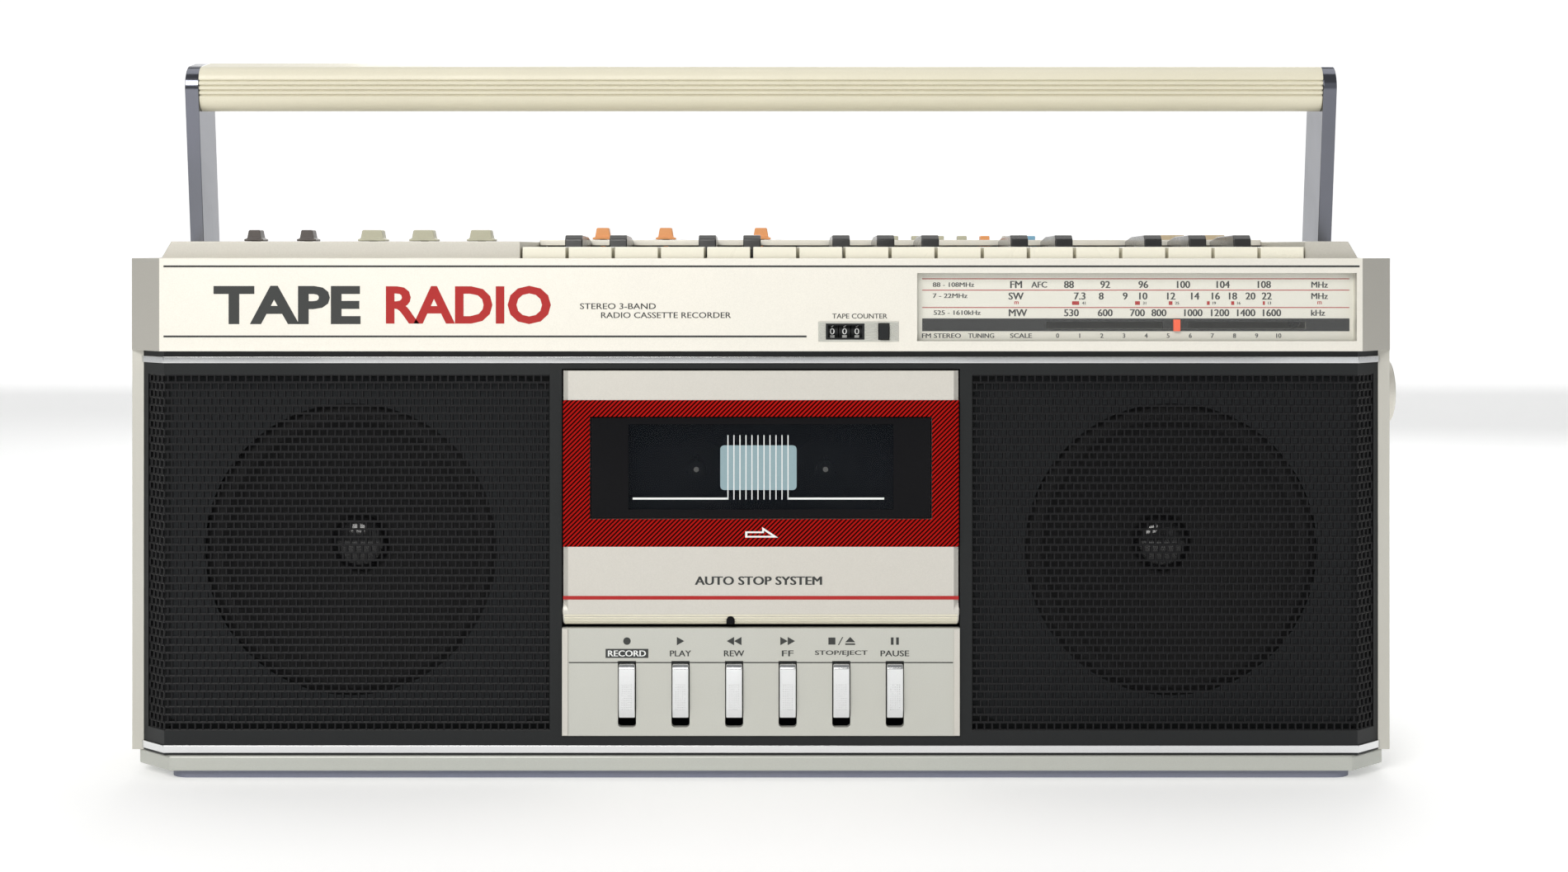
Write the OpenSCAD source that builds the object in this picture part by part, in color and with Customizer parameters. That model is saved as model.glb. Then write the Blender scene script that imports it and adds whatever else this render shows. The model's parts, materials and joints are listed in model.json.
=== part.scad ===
// Portable stereo radio cassette recorder with a mini piano along its top front edge.
// Front faces -Y, +Z is up, and the origin is the middle of the underside of the foot plinth.

/* [Cabinet] */
// Width of the cabinet and the head
cab_w = 413.6; // [380:1:500]
// Width of the black front frame
frame_w = 406; // [374:1:492]
// Front face of the black front frame, in front of the origin
frame_y = 52; // [46:1:60]
// How far the head stands in front of the front frame
head_proud = 3.5; // [1:0.5:5]
// Rear face of the cabinet, behind the origin
rear_y = 58; // [56:1:80]
// Wall of the plastic shells
wall = 3; // [2.4:0.2:3.6]
// Cut-off corner of the front frame, seen from above
frame_cut = 9; // [6:0.5:11]
// Cut-off corner of the head, seen from above
head_cut = 12; // [8:0.5:16]

/* [Levels] */
// Height of the foot plinth
plinth_h = 3; // [2:0.5:6]
// Height of the silver base strip
strip_h = 5; // [4:0.5:8]
// Height of the black front frame
frame_h = 131.4; // [131.4:0.2:150]
// Height of the head above the front frame
head_h = 30.1; // [28:0.1:34]

/* [Cassette deck] */
// Width of the cassette door
door_w = 128.4; // [116:0.2:134]
// Height of the cassette door
door_h = 82.6; // [80:0.2:84]
// Gap round the door and the transport panel
door_gap = 0.5; // [0.3:0.1:0.8]
// Radius of the door's rolled bottom edge
door_roll_r = 4.1; // [3:0.1:5]
// Distance between the two tape spindles
hub_pitch = 42.5; // [42:0.1:43]
// Height of the spindles above the door's bottom edge
hub_up = 49.6; // [46:0.2:52]
// Pitch of the six lever keys
lever_pitch = 17.4; // [15:0.1:18]
// Width of a lever key
lever_w = 5.3; // [4:0.1:8]
// Height of a lever key
lever_h = 17.6; // [14:0.2:20]
// Downward travel of a lever key
lever_travel = 2.3; // [1.5:0.1:3]

/* [Loudspeakers] */
// Radius of the hole in front of a cone
cone_r = 48; // [36:0.5:54]
// Rail between the door and a grille
rail_w = 4; // [3:0.2:6]
// Height of a loudspeaker's centre
speaker_z = 73.8; // [70:0.2:78]

/* [Piano] */
// Number of white keys
white_n = 17; // [17:1:17]
// Pitch of the white keys
white_pitch = 15; // [13:0.1:15.4]
// Left end of the keyboard
piano_x = -78; // [-84:1:-60]
// Width of a black key
black_w = 5.9; // [4:0.1:7]
// Gap between neighbouring keys
key_gap = 1; // [0.6:0.1:1.4]
// Length of a white key in front of the control panel
white_len = 72; // [66:1:74]
// Length of a black key in front of the control panel
black_len = 45; // [38:1:50]

/* [Handle] */
// Distance from the handle's pivot to the middle of the grip
handle_reach = 81.5; // [70:0.5:100]
// Forward lean of the handle at rest, in degrees
handle_lean = 9; // [0:1:12]
// Width of an arm, front to back
arm_w = 25; // [18:0.5:26]
// Thickness of an arm
arm_t = 4.8; // [3:0.1:5]
// How far an arm's outer face lies inside the cabinet's side
arm_inset = 3; // [1:0.5:5]
// Height of the grip bar
grip_h = 16; // [12:0.5:20]
// Radius of a handle pivot pin
pivot_r = 4; // [3:0.1:5]

/* [Knobs] */
// Radius of the tuning knob
tuning_r = 11; // [9:0.5:13]
// Thickness of the tuning knob
tuning_t = 9; // [6:0.5:12]
// Pitch of the seven small buttons
button_pitch = 8.27; // [6:0.1:8.4]
// Travel of a slide knob each way
slide_travel = 5; // [3:0.5:6]

/* [Fits] */
// Radial clearance of a shaft in its hole
run_fit = 0.06; // [0.03:0.01:0.1]
// Gap between a moving piece and its neighbour
gap = 0.35; // [0.3:0.05:0.5]

/* [Hidden] */
$fn = 48;
eps = 0.01;

silver = [0.85, 0.84, 0.80];
cream = [0.92, 0.90, 0.82];
chrome = [0.78, 0.78, 0.80];
black = [0.07, 0.07, 0.08];

// Levels
strip_z = plinth_h;
frame_z = strip_z + strip_h;
head_z = frame_z + frame_h;
head_top = head_z + head_h;
block_top = head_top + 5.5;
panel_top = head_top + 6.2;
panel_t = 2.1;

// Depths: the front is negative
front_y = -frame_y;
head_front = front_y - head_proud;
shell_y = front_y + frame_cut;
head_back = -10;
head_wall = 2.5;
frame_t = 3;

// Cassette bay
bay_z = frame_z + 6;
door_z = bay_z + 36.4;
bay_top = door_z + door_h + door_gap;
bay_half = door_w / 2 + door_gap;
rail_x = bay_half + rail_w;
rib_y = front_y + 19;
hub_z = door_z + hub_up;
door_front = front_y - 1.6;
door_t = 2.6;
hinge_y = door_front + door_roll_r;
hinge_z = door_z + door_roll_r;
hinge_pin_r = 1.2;

// Grilles
grille_z0 = frame_z + 8;
grille_z1 = head_z - 7.8;
grille_end = frame_w / 2 - 2.1;
speaker_x = (rail_x + grille_end) / 2;
baffle_y = shell_y;
baffle_t = 2.5;

// Outline of the cabinet seen from above, moved inwards by d
module plan(w, y0, y1, cut, d = 0) {
    c = cut - d * (2 - sqrt(2));
    x = w / 2 - d;
    y = y0 + d;
    polygon([[-x, y1], [-x, y + c], [-x + c, y], [x - c, y], [x, y + c], [x, y1]]);
}

// Box from its two opposite corners
module block(a, b) {
    translate(a) cube([b[0] - a[0], b[1] - a[1], b[2] - a[2]]);
}

// Rod along Y, its front end at y0
module rod_y(x, z, y0, y1, r) {
    translate([x, y1, z]) rotate([90, 0, 0]) cylinder(r = r, h = y1 - y0);
}

// Rod along X, its left end at x0
module rod_x(y, z, x0, x1, r) {
    translate([x0, y, z]) rotate([0, 90, 0]) cylinder(r = r, h = x1 - x0);
}

// Both sides of the cabinet
module both_sides() {
    children();
    mirror([1, 0, 0]) children();
}

// Base

tray_w = cab_w - 3.6;
tray_floor = 2;
screw_x = cab_w / 2 - 26;
screw_z = [frame_z + 14, head_z - 22];

module base_tray() color(silver) difference() {
    translate([0, 0, strip_z]) linear_extrude(strip_h) plan(tray_w, front_y - 1.2, rear_y, 12.8);
    translate([0, 0, strip_z + tray_floor]) linear_extrude(strip_h) difference() {
        plan(tray_w, front_y - 1.2, rear_y - wall - 1, 12.8, wall + 4);
    }
}

foot_w = cab_w - 27.6;
foot_y = front_y + 3;
foot_rim = 14;
foot_corner = 6;
foot_ribs = [-110, 0, 110];

module foot_outline(d) {
    x = foot_w / 2 - d;
    y0 = foot_y + d;
    y1 = rear_y - 8 - d;
    r = foot_corner;
    translate([-x + r, y0]) square([2 * (x - r), y1 - y0]);
    translate([-x, y0 + r]) square([2 * x, y1 - y0 - 2 * r]);
    for (sx = [-1, 1], y = [y0 + r, y1 - r]) translate([sx * (x - r), y]) circle(r);
}

module base_foot() color([0.45, 0.5, 0.58]) linear_extrude(plinth_h) {
    difference() {
        foot_outline(0);
        foot_outline(foot_rim);
    }
    for (x = foot_ribs) translate([x - foot_rim / 2, foot_y + 5]) square([foot_rim, rear_y - 18 - foot_y]);
}

// Front frame, trims and grilles

trim_proud = 0.6;
trim_deep = 1;
trim_h = [2.4, 2.1];
trim_z = [frame_z + 0.8, head_z - 4];

module trim_ring(i, proud) translate([0, 0, trim_z[i]]) linear_extrude(trim_h[i]) difference() {
    plan(frame_w, front_y, shell_y, frame_cut, -proud);
    plan(frame_w, front_y, shell_y + 1, frame_cut, trim_deep);
}

module grille_opening() translate([0, 0, grille_z0])
    block([rail_x, front_y - 5, 0], [grille_end, shell_y - 0.5, grille_z1 - grille_z0]);

module front_frame() color(black) difference() {
    union() {
        translate([0, 0, frame_z]) linear_extrude(frame_h) difference() {
            plan(frame_w, front_y, shell_y, frame_cut);
            plan(frame_w, front_y, shell_y + 1, frame_cut, frame_t);
        }
        // Baffle behind the grilles
        both_sides() block([bay_half, baffle_y, frame_z], [frame_w / 2 - 4, baffle_y + baffle_t, head_z]);
        both_sides() block([frame_w / 2 - 9, baffle_y - 3, frame_z], [frame_w / 2 - 4, baffle_y, head_z]);
        // Side walls, roof and floor of the cassette bay
        both_sides() block([bay_half, front_y + 1, frame_z], [rail_x, rib_y, head_z]);
        block([-rail_x, front_y + 1, bay_top], [rail_x, rib_y, head_z]);
        block([-rail_x, front_y + 1, frame_z], [rail_x, rib_y, bay_z]);
    }
    block([-bay_half, front_y - 5, bay_z], [bay_half, rib_y + 5, bay_top]);
    both_sides() grille_opening();
    both_sides() rod_y(speaker_x, speaker_z, baffle_y - 5, baffle_y + 5, cone_r);
    for (i = [0, 1]) trim_ring(i, 1);
    // Bearings of the cassette door
    rod_x(hinge_y, hinge_z, -bay_half - 2.5, bay_half + 2.5, hinge_pin_r + run_fit);
}

module chrome_trims() color(chrome) for (i = [0, 1]) trim_ring(i, trim_proud);

grille_t = 1;

module speaker_grilles() color([0.12, 0.12, 0.13]) both_sides() intersection() {
    translate([0, 0, grille_z0]) linear_extrude(grille_z1 - grille_z0) difference() {
        plan(frame_w, front_y, shell_y, frame_cut);
        plan(frame_w, front_y, shell_y + 1, frame_cut, grille_t);
    }
    grille_opening();
}

// Loudspeakers

basket_d = 26;
magnet_r = 24;
magnet_d = 13;
coil_r = 10;
dust_r = 9.5;
cone_d = 18;

// Places a shape turned about its own Z axis so that Z points forwards
module at_speaker() both_sides()
    translate([speaker_x, baffle_y + baffle_t, speaker_z]) rotate([90, 0, 0]) children();

module speaker_frames() color([0.3, 0.3, 0.32]) at_speaker() rotate_extrude($fn = 64) polygon([
    [0, -basket_d - magnet_d], [magnet_r, -basket_d - magnet_d], [magnet_r, -basket_d],
    [cone_r + 3, -2], [cone_r + 5, -2], [cone_r + 5, 0], [cone_r + 0.5, 0], [cone_r + 0.5, -1.6],
    [magnet_r - 2, -basket_d + 2], [0, -basket_d + 2]]);

module speaker_cones() color([0.2, 0.2, 0.21]) at_speaker() rotate_extrude($fn = 64) polygon([
    [0, -basket_d + 2], [coil_r - 2, -basket_d + 2], [coil_r - 2, -cone_d + 1], [coil_r, -cone_d],
    [cone_r - 8, -3], [cone_r - 4, 0.4], [cone_r + 0.5, -1.4], [cone_r + 0.5, -0.4], [cone_r - 1, 0],
    [cone_r - 4, 1.6], [cone_r - 8, -1.8], [coil_r + 1, -cone_d + 2],
    for (a = [0 : 15 : 90]) [dust_r * cos(a), -cone_d + 2 + 3.5 * sin(a)]]);

// Rear cabinet

arm_x1 = cab_w / 2 - arm_inset;
arm_x0 = arm_x1 - arm_t;
recess_x = arm_x0 - gap;
pivot_y = rear_y - 16;
pivot_z = head_z + 10.6;
recess_y = pivot_y - arm_w / 2 - 5;
recess_z = pivot_z - arm_w / 2 - 1;
boss_r = 4;
screw_r = 1.4;
screw_head_r = 3;
screw_head_t = 1.4;
screw_xs = [-screw_x, 0, screw_x];
tuning_y = -5;
tuning_z = head_z - 15.8;
tuning_shaft_r = 2.5;
board_y = 5;
board_t = 1.6;
board_half = 60;
board_z = [20, 120];
post_inset = 8;
battery_x = [-170, -70];
battery_z = [20, 72];
socket_x = [90, 150];
socket_z = [24, 54];

module recesses(more) both_sides()
    block([recess_x - more, recess_y - more, recess_z - more], [cab_w, rear_y + 5, head_top + 5]);

module cabinet_outer() {
    block([-cab_w / 2, shell_y, frame_z], [cab_w / 2, rear_y, head_z]);
    block([-cab_w / 2, head_back, head_z], [cab_w / 2, rear_y, head_top]);
}

module rear_cabinet() color(silver) difference() {
    union() {
        difference() {
            cabinet_outer();
            difference() {
                block([-cab_w / 2 + wall, shell_y - 5, frame_z - 5],
                    [cab_w / 2 - wall, rear_y - wall, head_top + 5]);
                recesses(wall);
            }
            recesses(0);
        }
        // Lip that the front frame seats on
        both_sides() block([frame_w / 2 - 4, shell_y, frame_z], [cab_w / 2 - wall, shell_y + 4, head_z]);
        for (x = screw_xs, z = screw_z) rod_y(x, z, rear_y - 12, rear_y - wall, boss_r);
        for (sx = [-1, 1], z = [board_z[0] + post_inset, board_z[1] - post_inset])
            rod_y(sx * (board_half - post_inset), z, board_y + board_t, rear_y - wall, boss_r - 1);
    }
    for (x = screw_xs, z = screw_z) {
        rod_y(x, z, rear_y - 13, rear_y + 1, screw_r + run_fit);
        rod_y(x, z, rear_y - screw_head_t - 0.2, rear_y + 1, screw_head_r + gap);
    }
    both_sides() rod_x(pivot_y, pivot_z, recess_x - wall - 1, recess_x + 1, pivot_r + run_fit);
    rod_x(tuning_y, tuning_z, cab_w / 2 - wall - 1, cab_w / 2 + 1, tuning_shaft_r + run_fit);
    block([battery_x[0], rear_y - wall - 1, battery_z[0]], [battery_x[1], rear_y + 1, battery_z[1]]);
    block([socket_x[0], rear_y - wall - 1, socket_z[0]], [socket_x[1], rear_y + 1, socket_z[1]]);
}

module battery_cover() color(silver) difference() {
    block([battery_x[0], rear_y - wall, battery_z[0]], [battery_x[1], rear_y, battery_z[1]]);
    // Finger grip of the latch
    block([(battery_x[0] + battery_x[1]) / 2 - 9, rear_y - 1.4, battery_z[1] - 9],
        [(battery_x[0] + battery_x[1]) / 2 + 9, rear_y + 1, battery_z[1] - 3]);
}

module case_screws() color([0.6, 0.6, 0.6]) for (x = screw_xs, z = screw_z) difference() {
    union() {
        rod_y(x, z, rear_y - 10, rear_y - screw_head_t - 0.1, screw_r);
        rod_y(x, z, rear_y - screw_head_t - 0.2, rear_y - 0.2, screw_head_r);
    }
    for (a = [0, 90]) translate([x, rear_y, z]) rotate([0, a, 0]) cube([3.2, 1.8, 0.7], center = true);
}

jack_r = 1.8;
jack_x = socket_x[1] - 14;
jack_z = (socket_z[0] + socket_z[1]) / 2;
jack_depth = 14;
inlet_x = [socket_x[0] + 7, socket_x[0] + 29];
inlet_half = 7;
socket_rim = 2;
socket_back = rear_y - 14;
socket_face = rear_y + 1.4;

module rear_sockets() color(black) difference() {
    union() {
        block([socket_x[0], socket_back, socket_z[0]], [socket_x[1], rear_y, socket_z[1]]);
        block([socket_x[0] - socket_rim, rear_y, socket_z[0] - socket_rim],
            [socket_x[1] + socket_rim, socket_face, socket_z[1] + socket_rim]);
    }
    block([inlet_x[0], socket_back + 2, jack_z - inlet_half],
        [inlet_x[1], socket_face + 1, jack_z + inlet_half]);
    rod_y(jack_x, jack_z, socket_face - jack_depth, socket_face + 1, jack_r);
}

// Head, dial and counter

dial_w = 142.3;
dial_h = 22;
dial_x1 = cab_w / 2 - 13.9;
dial_x0 = dial_x1 - dial_w;
dial_z0 = head_z + 3.3;
dial_z1 = dial_z0 + dial_h;
dial_y = head_front + 4.5;
dial_rim = 0.8;
dial_plate_t = 1.2;
pointer_z = dial_z0 + 5;
pointer_run = 40.3;
pointer_x = dial_x0 + 84.6;
counter_x0 = dial_x0 - 32;
counter_x1 = dial_x0 - 6;
counter_z0 = head_z + 3.2;
counter_z1 = counter_z0 + 6.4;
counter_y = head_front - 0.4;
wheel_n = 3;
wheel_w = 3.7;
wheel_pitch = 4;
wheel_r = 3.6;
wheel_y = head_front + 5.7;
wheel_z = (counter_z0 + counter_z1) / 2;
wheel_x = counter_x0 + 2.7;
axle_r = 0.75;
reset_x = counter_x0 + 21.2;
reset_w = 3.2;
reset_h = 5;

module head_fascia() color(silver) difference() {
    translate([0, 0, head_z]) linear_extrude(head_h) plan(cab_w, head_front, head_back, head_cut);
    translate([0, 0, head_z + 2]) linear_extrude(head_h)
        plan(cab_w, head_front, head_back + 5, head_cut, head_wall);
    // The floor is only a ledge along the front
    translate([0, 0, head_z - 1]) linear_extrude(head_h) difference() {
        plan(cab_w, head_front, head_back + 5, head_cut, head_wall);
        translate([-cab_w, head_front]) square([2 * cab_w, shell_y - head_front]);
    }
    block([dial_x0, head_front - 1, dial_z0], [dial_x1, dial_y, dial_z1]);
    block([counter_x0, head_front - 1, counter_z0], [counter_x1, head_front + 5, counter_z1]);
}

module dial_window() color([0.9, 0.92, 0.95, 0.4])
    block([dial_x0, head_front + 0.8, dial_z0], [dial_x1, head_front + 1.8, dial_z1]);

module dial_plate() color([0.88, 0.87, 0.83]) difference() {
    union() {
        block([dial_x0 - dial_rim, dial_y, dial_z0], [dial_x1 + dial_rim, dial_y + dial_plate_t, dial_z1]);
        for (x = [dial_x0 - dial_rim, dial_x1])
            block([x, head_front + head_wall, dial_z0], [x + dial_rim, dial_y, dial_z1]);
    }
    block([pointer_x - pointer_run - 2, dial_y - 1, pointer_z - 1.1],
        [pointer_x + pointer_run + 2, dial_y + 5, pointer_z + 1.1]);
}

module dial_pointer() color([0.95, 0.3, 0.12]) {
    block([pointer_x - 1.1, dial_y - 1.6, pointer_z - 1.9], [pointer_x + 1.1, dial_y - 0.4, pointer_z + 1.9]);
    block([pointer_x - 0.8, dial_y - 0.4, pointer_z - 0.8], [pointer_x + 0.8, dial_y + 1.6, pointer_z + 0.8]);
    block([pointer_x - 4, dial_y + 1.6, pointer_z - 4], [pointer_x + 4, dial_y + 3.4, pointer_z + 4]);
}

module counter_housing() color(silver) difference() {
    union() {
        block([counter_x0, counter_y, counter_z0], [counter_x1, head_front + head_wall, counter_z1]);
        block([counter_x0, head_front + head_wall, wheel_z - wheel_r - 0.7],
            [counter_x1, wheel_y + wheel_r + 2, wheel_z + wheel_r + 0.7]);
    }
    // Room for the wheels, and the window in front of them
    block([wheel_x - 0.3, counter_y + 1.4, wheel_z - wheel_r - 0.35],
        [wheel_x + wheel_n * wheel_pitch, wheel_y + wheel_r + 1, wheel_z + wheel_r + 0.35]);
    block([wheel_x, counter_y - 1, wheel_z - 2.4],
        [wheel_x + wheel_n * wheel_pitch - 0.3, wheel_y, wheel_z + 2.4]);
    rod_x(wheel_y, wheel_z, wheel_x - 1.6, wheel_x + wheel_n * wheel_pitch + 1.4, axle_r + run_fit);
    block([reset_x - reset_w / 2 - 0.2, counter_y - 1, wheel_z - reset_h / 2 - 0.2],
        [reset_x + reset_w / 2 + 0.2, wheel_y + wheel_r + 5, wheel_z + reset_h / 2 + 0.2]);
}

module counter_wheels() color(black) {
    for (i = [0 : wheel_n - 1])
        rod_x(wheel_y, wheel_z, wheel_x + i * wheel_pitch, wheel_x + i * wheel_pitch + wheel_w, wheel_r);
    rod_x(wheel_y, wheel_z, wheel_x - 1.3, wheel_x + wheel_n * wheel_pitch + 1.1, axle_r);
}

module counter_reset_button() color(black)
    block([reset_x - reset_w / 2, counter_y - 1.6, wheel_z - reset_h / 2],
        [reset_x + reset_w / 2, wheel_y + wheel_r + 1, wheel_z + reset_h / 2]);

// Top: piano, panel, blocks

piano_w = white_n * white_pitch;
well_x0 = piano_x - 0.5;
well_x1 = piano_x + piano_w + 0.5;
key_front = head_front + head_wall + 0.7;
panel_y0 = key_front + white_len;
panel_y1 = rear_y - 8;
block_y0 = head_front + 6;
block_y1 = panel_y1 - 2;
block_x0 = -(cab_w / 2 - 11.2);
block_x1 = cab_w / 2 - 12;
block_slope = 3.2;
cover_t = 2;
knob_y = -8;
knob_xs = [for (d = [94.8, 76.8, 54.5, 37, 17.3]) well_x0 - d];
slot_w = 2.4;
slot_l = 2 * slide_travel + 3;
slider_y = (panel_y0 + panel_y1) / 2 + 1;
slider_xs = [for (d = [21, 43.7, 78]) piano_x + d];
button_y = slider_y + 4.2;
button_x = piano_x + piano_w - 128.9;
button_size = [3.3, 6];
wide_xs = [for (d = [36, 21.4]) piano_x + piano_w - d];
wide_size = [12.2, 8];

// Prism of a raised block with one sloped end, d is its wall
module raised(x_in, x_out, d) {
    s = sign(x_out - x_in);
    z1 = block_top - head_top - d;
    translate([0, block_y1 - d, head_top]) rotate([90, 0, 0]) linear_extrude(block_y1 - block_y0 - 2 * d)
        polygon([[x_in + s * d, -5 * (d > 0 ? 1 : 0)], [x_out - s * d, -5 * (d > 0 ? 1 : 0)],
            [x_out - s * d, 0], [x_out - s * (d + block_slope), z1], [x_in + s * d, z1]]);
}

module top_outline() {
    plan(cab_w, head_front, head_back, head_cut, head_wall);
    translate([-cab_w / 2 + wall, head_back - eps]) square([cab_w - 2 * wall, recess_y - wall - head_back]);
    translate([-recess_x + wall, head_back]) square([2 * (recess_x - wall), rear_y - wall - head_back]);
}

module slot_at(x, y, l) translate([x - slot_w / 2, y - l / 2, head_top - 5]) cube([slot_w, l, 20]);

module top_cover() color(silver) difference() {
    union() {
        translate([0, 0, head_top - cover_t]) linear_extrude(cover_t) top_outline();
        raised(well_x0, block_x0, 0);
        raised(well_x1, block_x1, 0);
        // Cheeks that hold the key contact board
        for (x = [well_x0 - 2, well_x1])
            block([x, key_front + 8, contact_z - 2], [x + 2, panel_y0 + 4, head_top]);
    }
    raised(well_x0, block_x0, cover_t);
    raised(well_x1, block_x1, cover_t);
    block([well_x0, head_front - 1, contact_z - 5], [well_x1, panel_y1 - 4, block_top + 5]);
    for (x = knob_xs) slot_at(x, knob_y, slot_l);
}

module key_panel() color(silver) difference() {
    union() {
        block([well_x0, panel_y0, panel_top - panel_t], [well_x1, panel_y1, panel_top]);
        block([well_x0, panel_y1 - 2, head_top], [well_x1, panel_y1, panel_top]);
    }
    for (x = slider_xs) slot_at(x, slider_y, slot_l);
    for (i = [0 : 6]) push_hole(button_x + i * button_pitch, button_size);
    for (x = wide_xs) push_hole(x + wide_size[0] / 2, wide_size);
}

module push_hole(x, size) translate([x, button_y, panel_top])
    cube([size[0] + 2 * gap, size[1] + 2 * gap, 12], center = true);

// Push button with a flange under the panel
module push_button(x, size, proud) {
    translate([x - size[0] / 2, button_y - size[1] / 2, panel_top - panel_t - 0.4])
        cube([size[0], size[1], panel_t + 0.4 + proud]);
    translate([x - size[0] / 2 - 0.8, button_y - size[1] / 2 - 0.8, panel_top - panel_t - 1])
        cube([size[0] + 1.6, size[1] + 1.6, 0.7]);
}

module small_button(i) push_button(button_x + i * button_pitch, button_size, 1.5);

// Slide knob over a slot, narrower at its top, standing on a foot plate
module slide_knob(x, y, surface, w, top_w, h, foot_w) {
    translate([x - foot_w / 2, y - 4.5, surface + 0.15]) cube([foot_w, 9, 0.8]);
    translate([x, y + 3.5, surface + 0.9]) rotate([90, 0, 0]) linear_extrude(7)
        polygon([[-w / 2, 0], [w / 2, 0], [top_w / 2, h - 0.9], [-top_w / 2, h - 0.9]]);
    translate([x - 0.9, y - 1.2, surface - 3]) cube([1.8, 2.4, 3.5]);
}

module left_knob(i, w) slide_knob(knob_xs[i], knob_y, block_top, w, w - 1.2, 4, w + 1.6);
module panel_slider(i) slide_knob(slider_xs[i], slider_y, panel_top, 5.5, 4.3, 4.4, 7.2);

// Piano: three moulded combs of keys, each hinged at its rear bar
key_top = panel_top - panel_t - 0.4;
key_t = 4.4;
comb_y = panel_y0 + 14.3;
bar_depth = 8;
bar_t = 1.6;
bar_zs = [key_top - 5.4, key_top - 7.8, key_top - 2.8];
tongue_y = panel_y0 - 6;
contact_z = key_top - 11.8;
contact_t = 2;
black_rise = 4;

// Notes run from G, and a note with an odd number lies on the second comb
function note(i) = (i + 4) % 7;
function has_black(i) = note(i) != 2 && note(i) != 6 && i < white_n - 1;
function notch(i) = has_black(i) ? (black_w - key_gap) / 2 + 0.8 : 0;

// Rear bar of a comb, whose round edge is its hinge
module comb_bar(k) {
    block([piano_x + 2, comb_y - bar_depth, bar_zs[k]], [piano_x + piano_w - 2, comb_y, bar_zs[k] + bar_t]);
    rod_x(comb_y, bar_zs[k] + bar_t / 2, piano_x + 2, piano_x + piano_w - 2, bar_t / 2);
}

module white_key(i, k) {
    x0 = piano_x + i * white_pitch + key_gap / 2;
    x1 = x0 + white_pitch - key_gap;
    rear_x0 = x0 + (i > 0 ? notch(i - 1) : 0);
    rear_x1 = x1 - notch(i);
    notch_y = panel_y0 - black_len - 0.8;
    translate([0, 0, key_top - key_t]) linear_extrude(key_t)
        polygon([[x0, key_front], [x1, key_front], [x1, notch_y], [rear_x1, notch_y],
            [rear_x1, panel_y0 - 1], [rear_x0, panel_y0 - 1], [rear_x0, notch_y], [x0, notch_y]]);
    mid = (x0 + x1) / 2;
    block([mid - 2.6, tongue_y, bar_zs[k]], [mid + 2.6, panel_y0 - 1, key_top]);
    block([mid - 2.6, tongue_y, bar_zs[k]], [mid + 2.6, comb_y - 1, bar_zs[k] + bar_t]);
}

module white_comb(k) color(cream) {
    for (i = [0 : white_n - 1]) if (note(i) % 2 == k) white_key(i, k);
    comb_bar(k);
}

module black_key(i) {
    x = piano_x + (i + 1) * white_pitch;
    y0 = panel_y0 - black_len;
    y1 = panel_y0 - 0.6;
    translate([x - black_w / 2, 0, 0]) rotate([90, 0, 90]) linear_extrude(black_w)
        polygon([[y0, key_top - 3.6], [y0 + 0.6, key_top + 2.6], [y0 + 2.6, key_top + black_rise],
            [y1 - 14, key_top + black_rise - 0.5], [y1, key_top + 2], [y1, key_top - 3.6]]);
    block([x - 2, tongue_y, bar_zs[2]], [x + 2, comb_y - 1, bar_zs[2] + bar_t]);
}

module black_comb() color(black) {
    for (i = [0 : white_n - 1]) if (has_black(i)) black_key(i);
    comb_bar(2);
}

module circuit_boards() color([0.1, 0.35, 0.2]) {
    block([-board_half, board_y, board_z[0]], [board_half, board_y + board_t, board_z[1]]);
    block([well_x0, key_front + 8, contact_z], [well_x1, panel_y0 + 4, contact_z + contact_t]);
}

// Handle

grip_d = arm_w - 1;
grip_corner = 5;
arm_corner = 8;
arm_top = handle_reach + grip_h / 2;
pin_head = 2;

// Stands the handle on its pivot, leaning forwards
module on_pivot(x)
    translate([x, pivot_y, pivot_z]) rotate([handle_lean, 0, 0]) rotate([90, 0, 90]) children();

module arm_outline(d) {
    h = arm_w / 2 - d;
    r = arm_corner - d;
    circle(h);
    translate([-h, 0]) square([2 * h, arm_top - d - r]);
    translate([-h + r, 0]) square([2 * (h - r), arm_top - d]);
    for (s = [-1, 1]) translate([s * (h - r), arm_top - d - r]) circle(r);
}

module handle_arms() color(chrome) both_sides() {
    difference() {
        on_pivot(arm_x0) linear_extrude(arm_t) arm_outline(0);
        // Channel along the outer face
        on_pivot(arm_x1 - 1.6) linear_extrude(5) arm_outline(3.2);
    }
    rod_x(pivot_y, pivot_z, recess_x - wall - 3, arm_x0, pivot_r);
    rod_x(pivot_y, pivot_z, recess_x - wall - 3, recess_x - wall - 0.4, pivot_r + pin_head);
}

module grip_outline() {
    y = grip_d / 2;
    z = grip_h / 2;
    r = grip_corner;
    difference() {
        union() {
            translate([-y + r, handle_reach - z]) square([2 * (y - r), 2 * z]);
            translate([-y, handle_reach - z + r]) square([2 * y, 2 * (z - r)]);
            for (sy = [-1, 1], sz = [-1, 1]) translate([sy * (y - r), handle_reach + sz * (z - r)]) circle(r);
        }
        for (i = [-1.5 : 1 : 1.5]) translate([-y - 1, handle_reach + 0.8 + i * 1.7 - 0.3]) square([1.8, 0.6]);
    }
}

module handle_grip() color(cream) on_pivot(-arm_x0) linear_extrude(2 * arm_x0) grip_outline();

// Cassette door

win_margin = 8.7;
win_w = door_w - 2 * win_margin;
win_z = [door_z + 34.5, door_z + 67.7];
win_gap = 0.3;
flange_y = door_front + door_t;
holder_y0 = flange_y + 1;
holder_t = 0.6;
cassette_w = 101.8;
holder_y1 = holder_y0 + holder_t + 12.6;
holder_z0 = hub_z - 37.5;
holder_z1 = hub_z + 28;
shelf_gap = 30;

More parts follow.
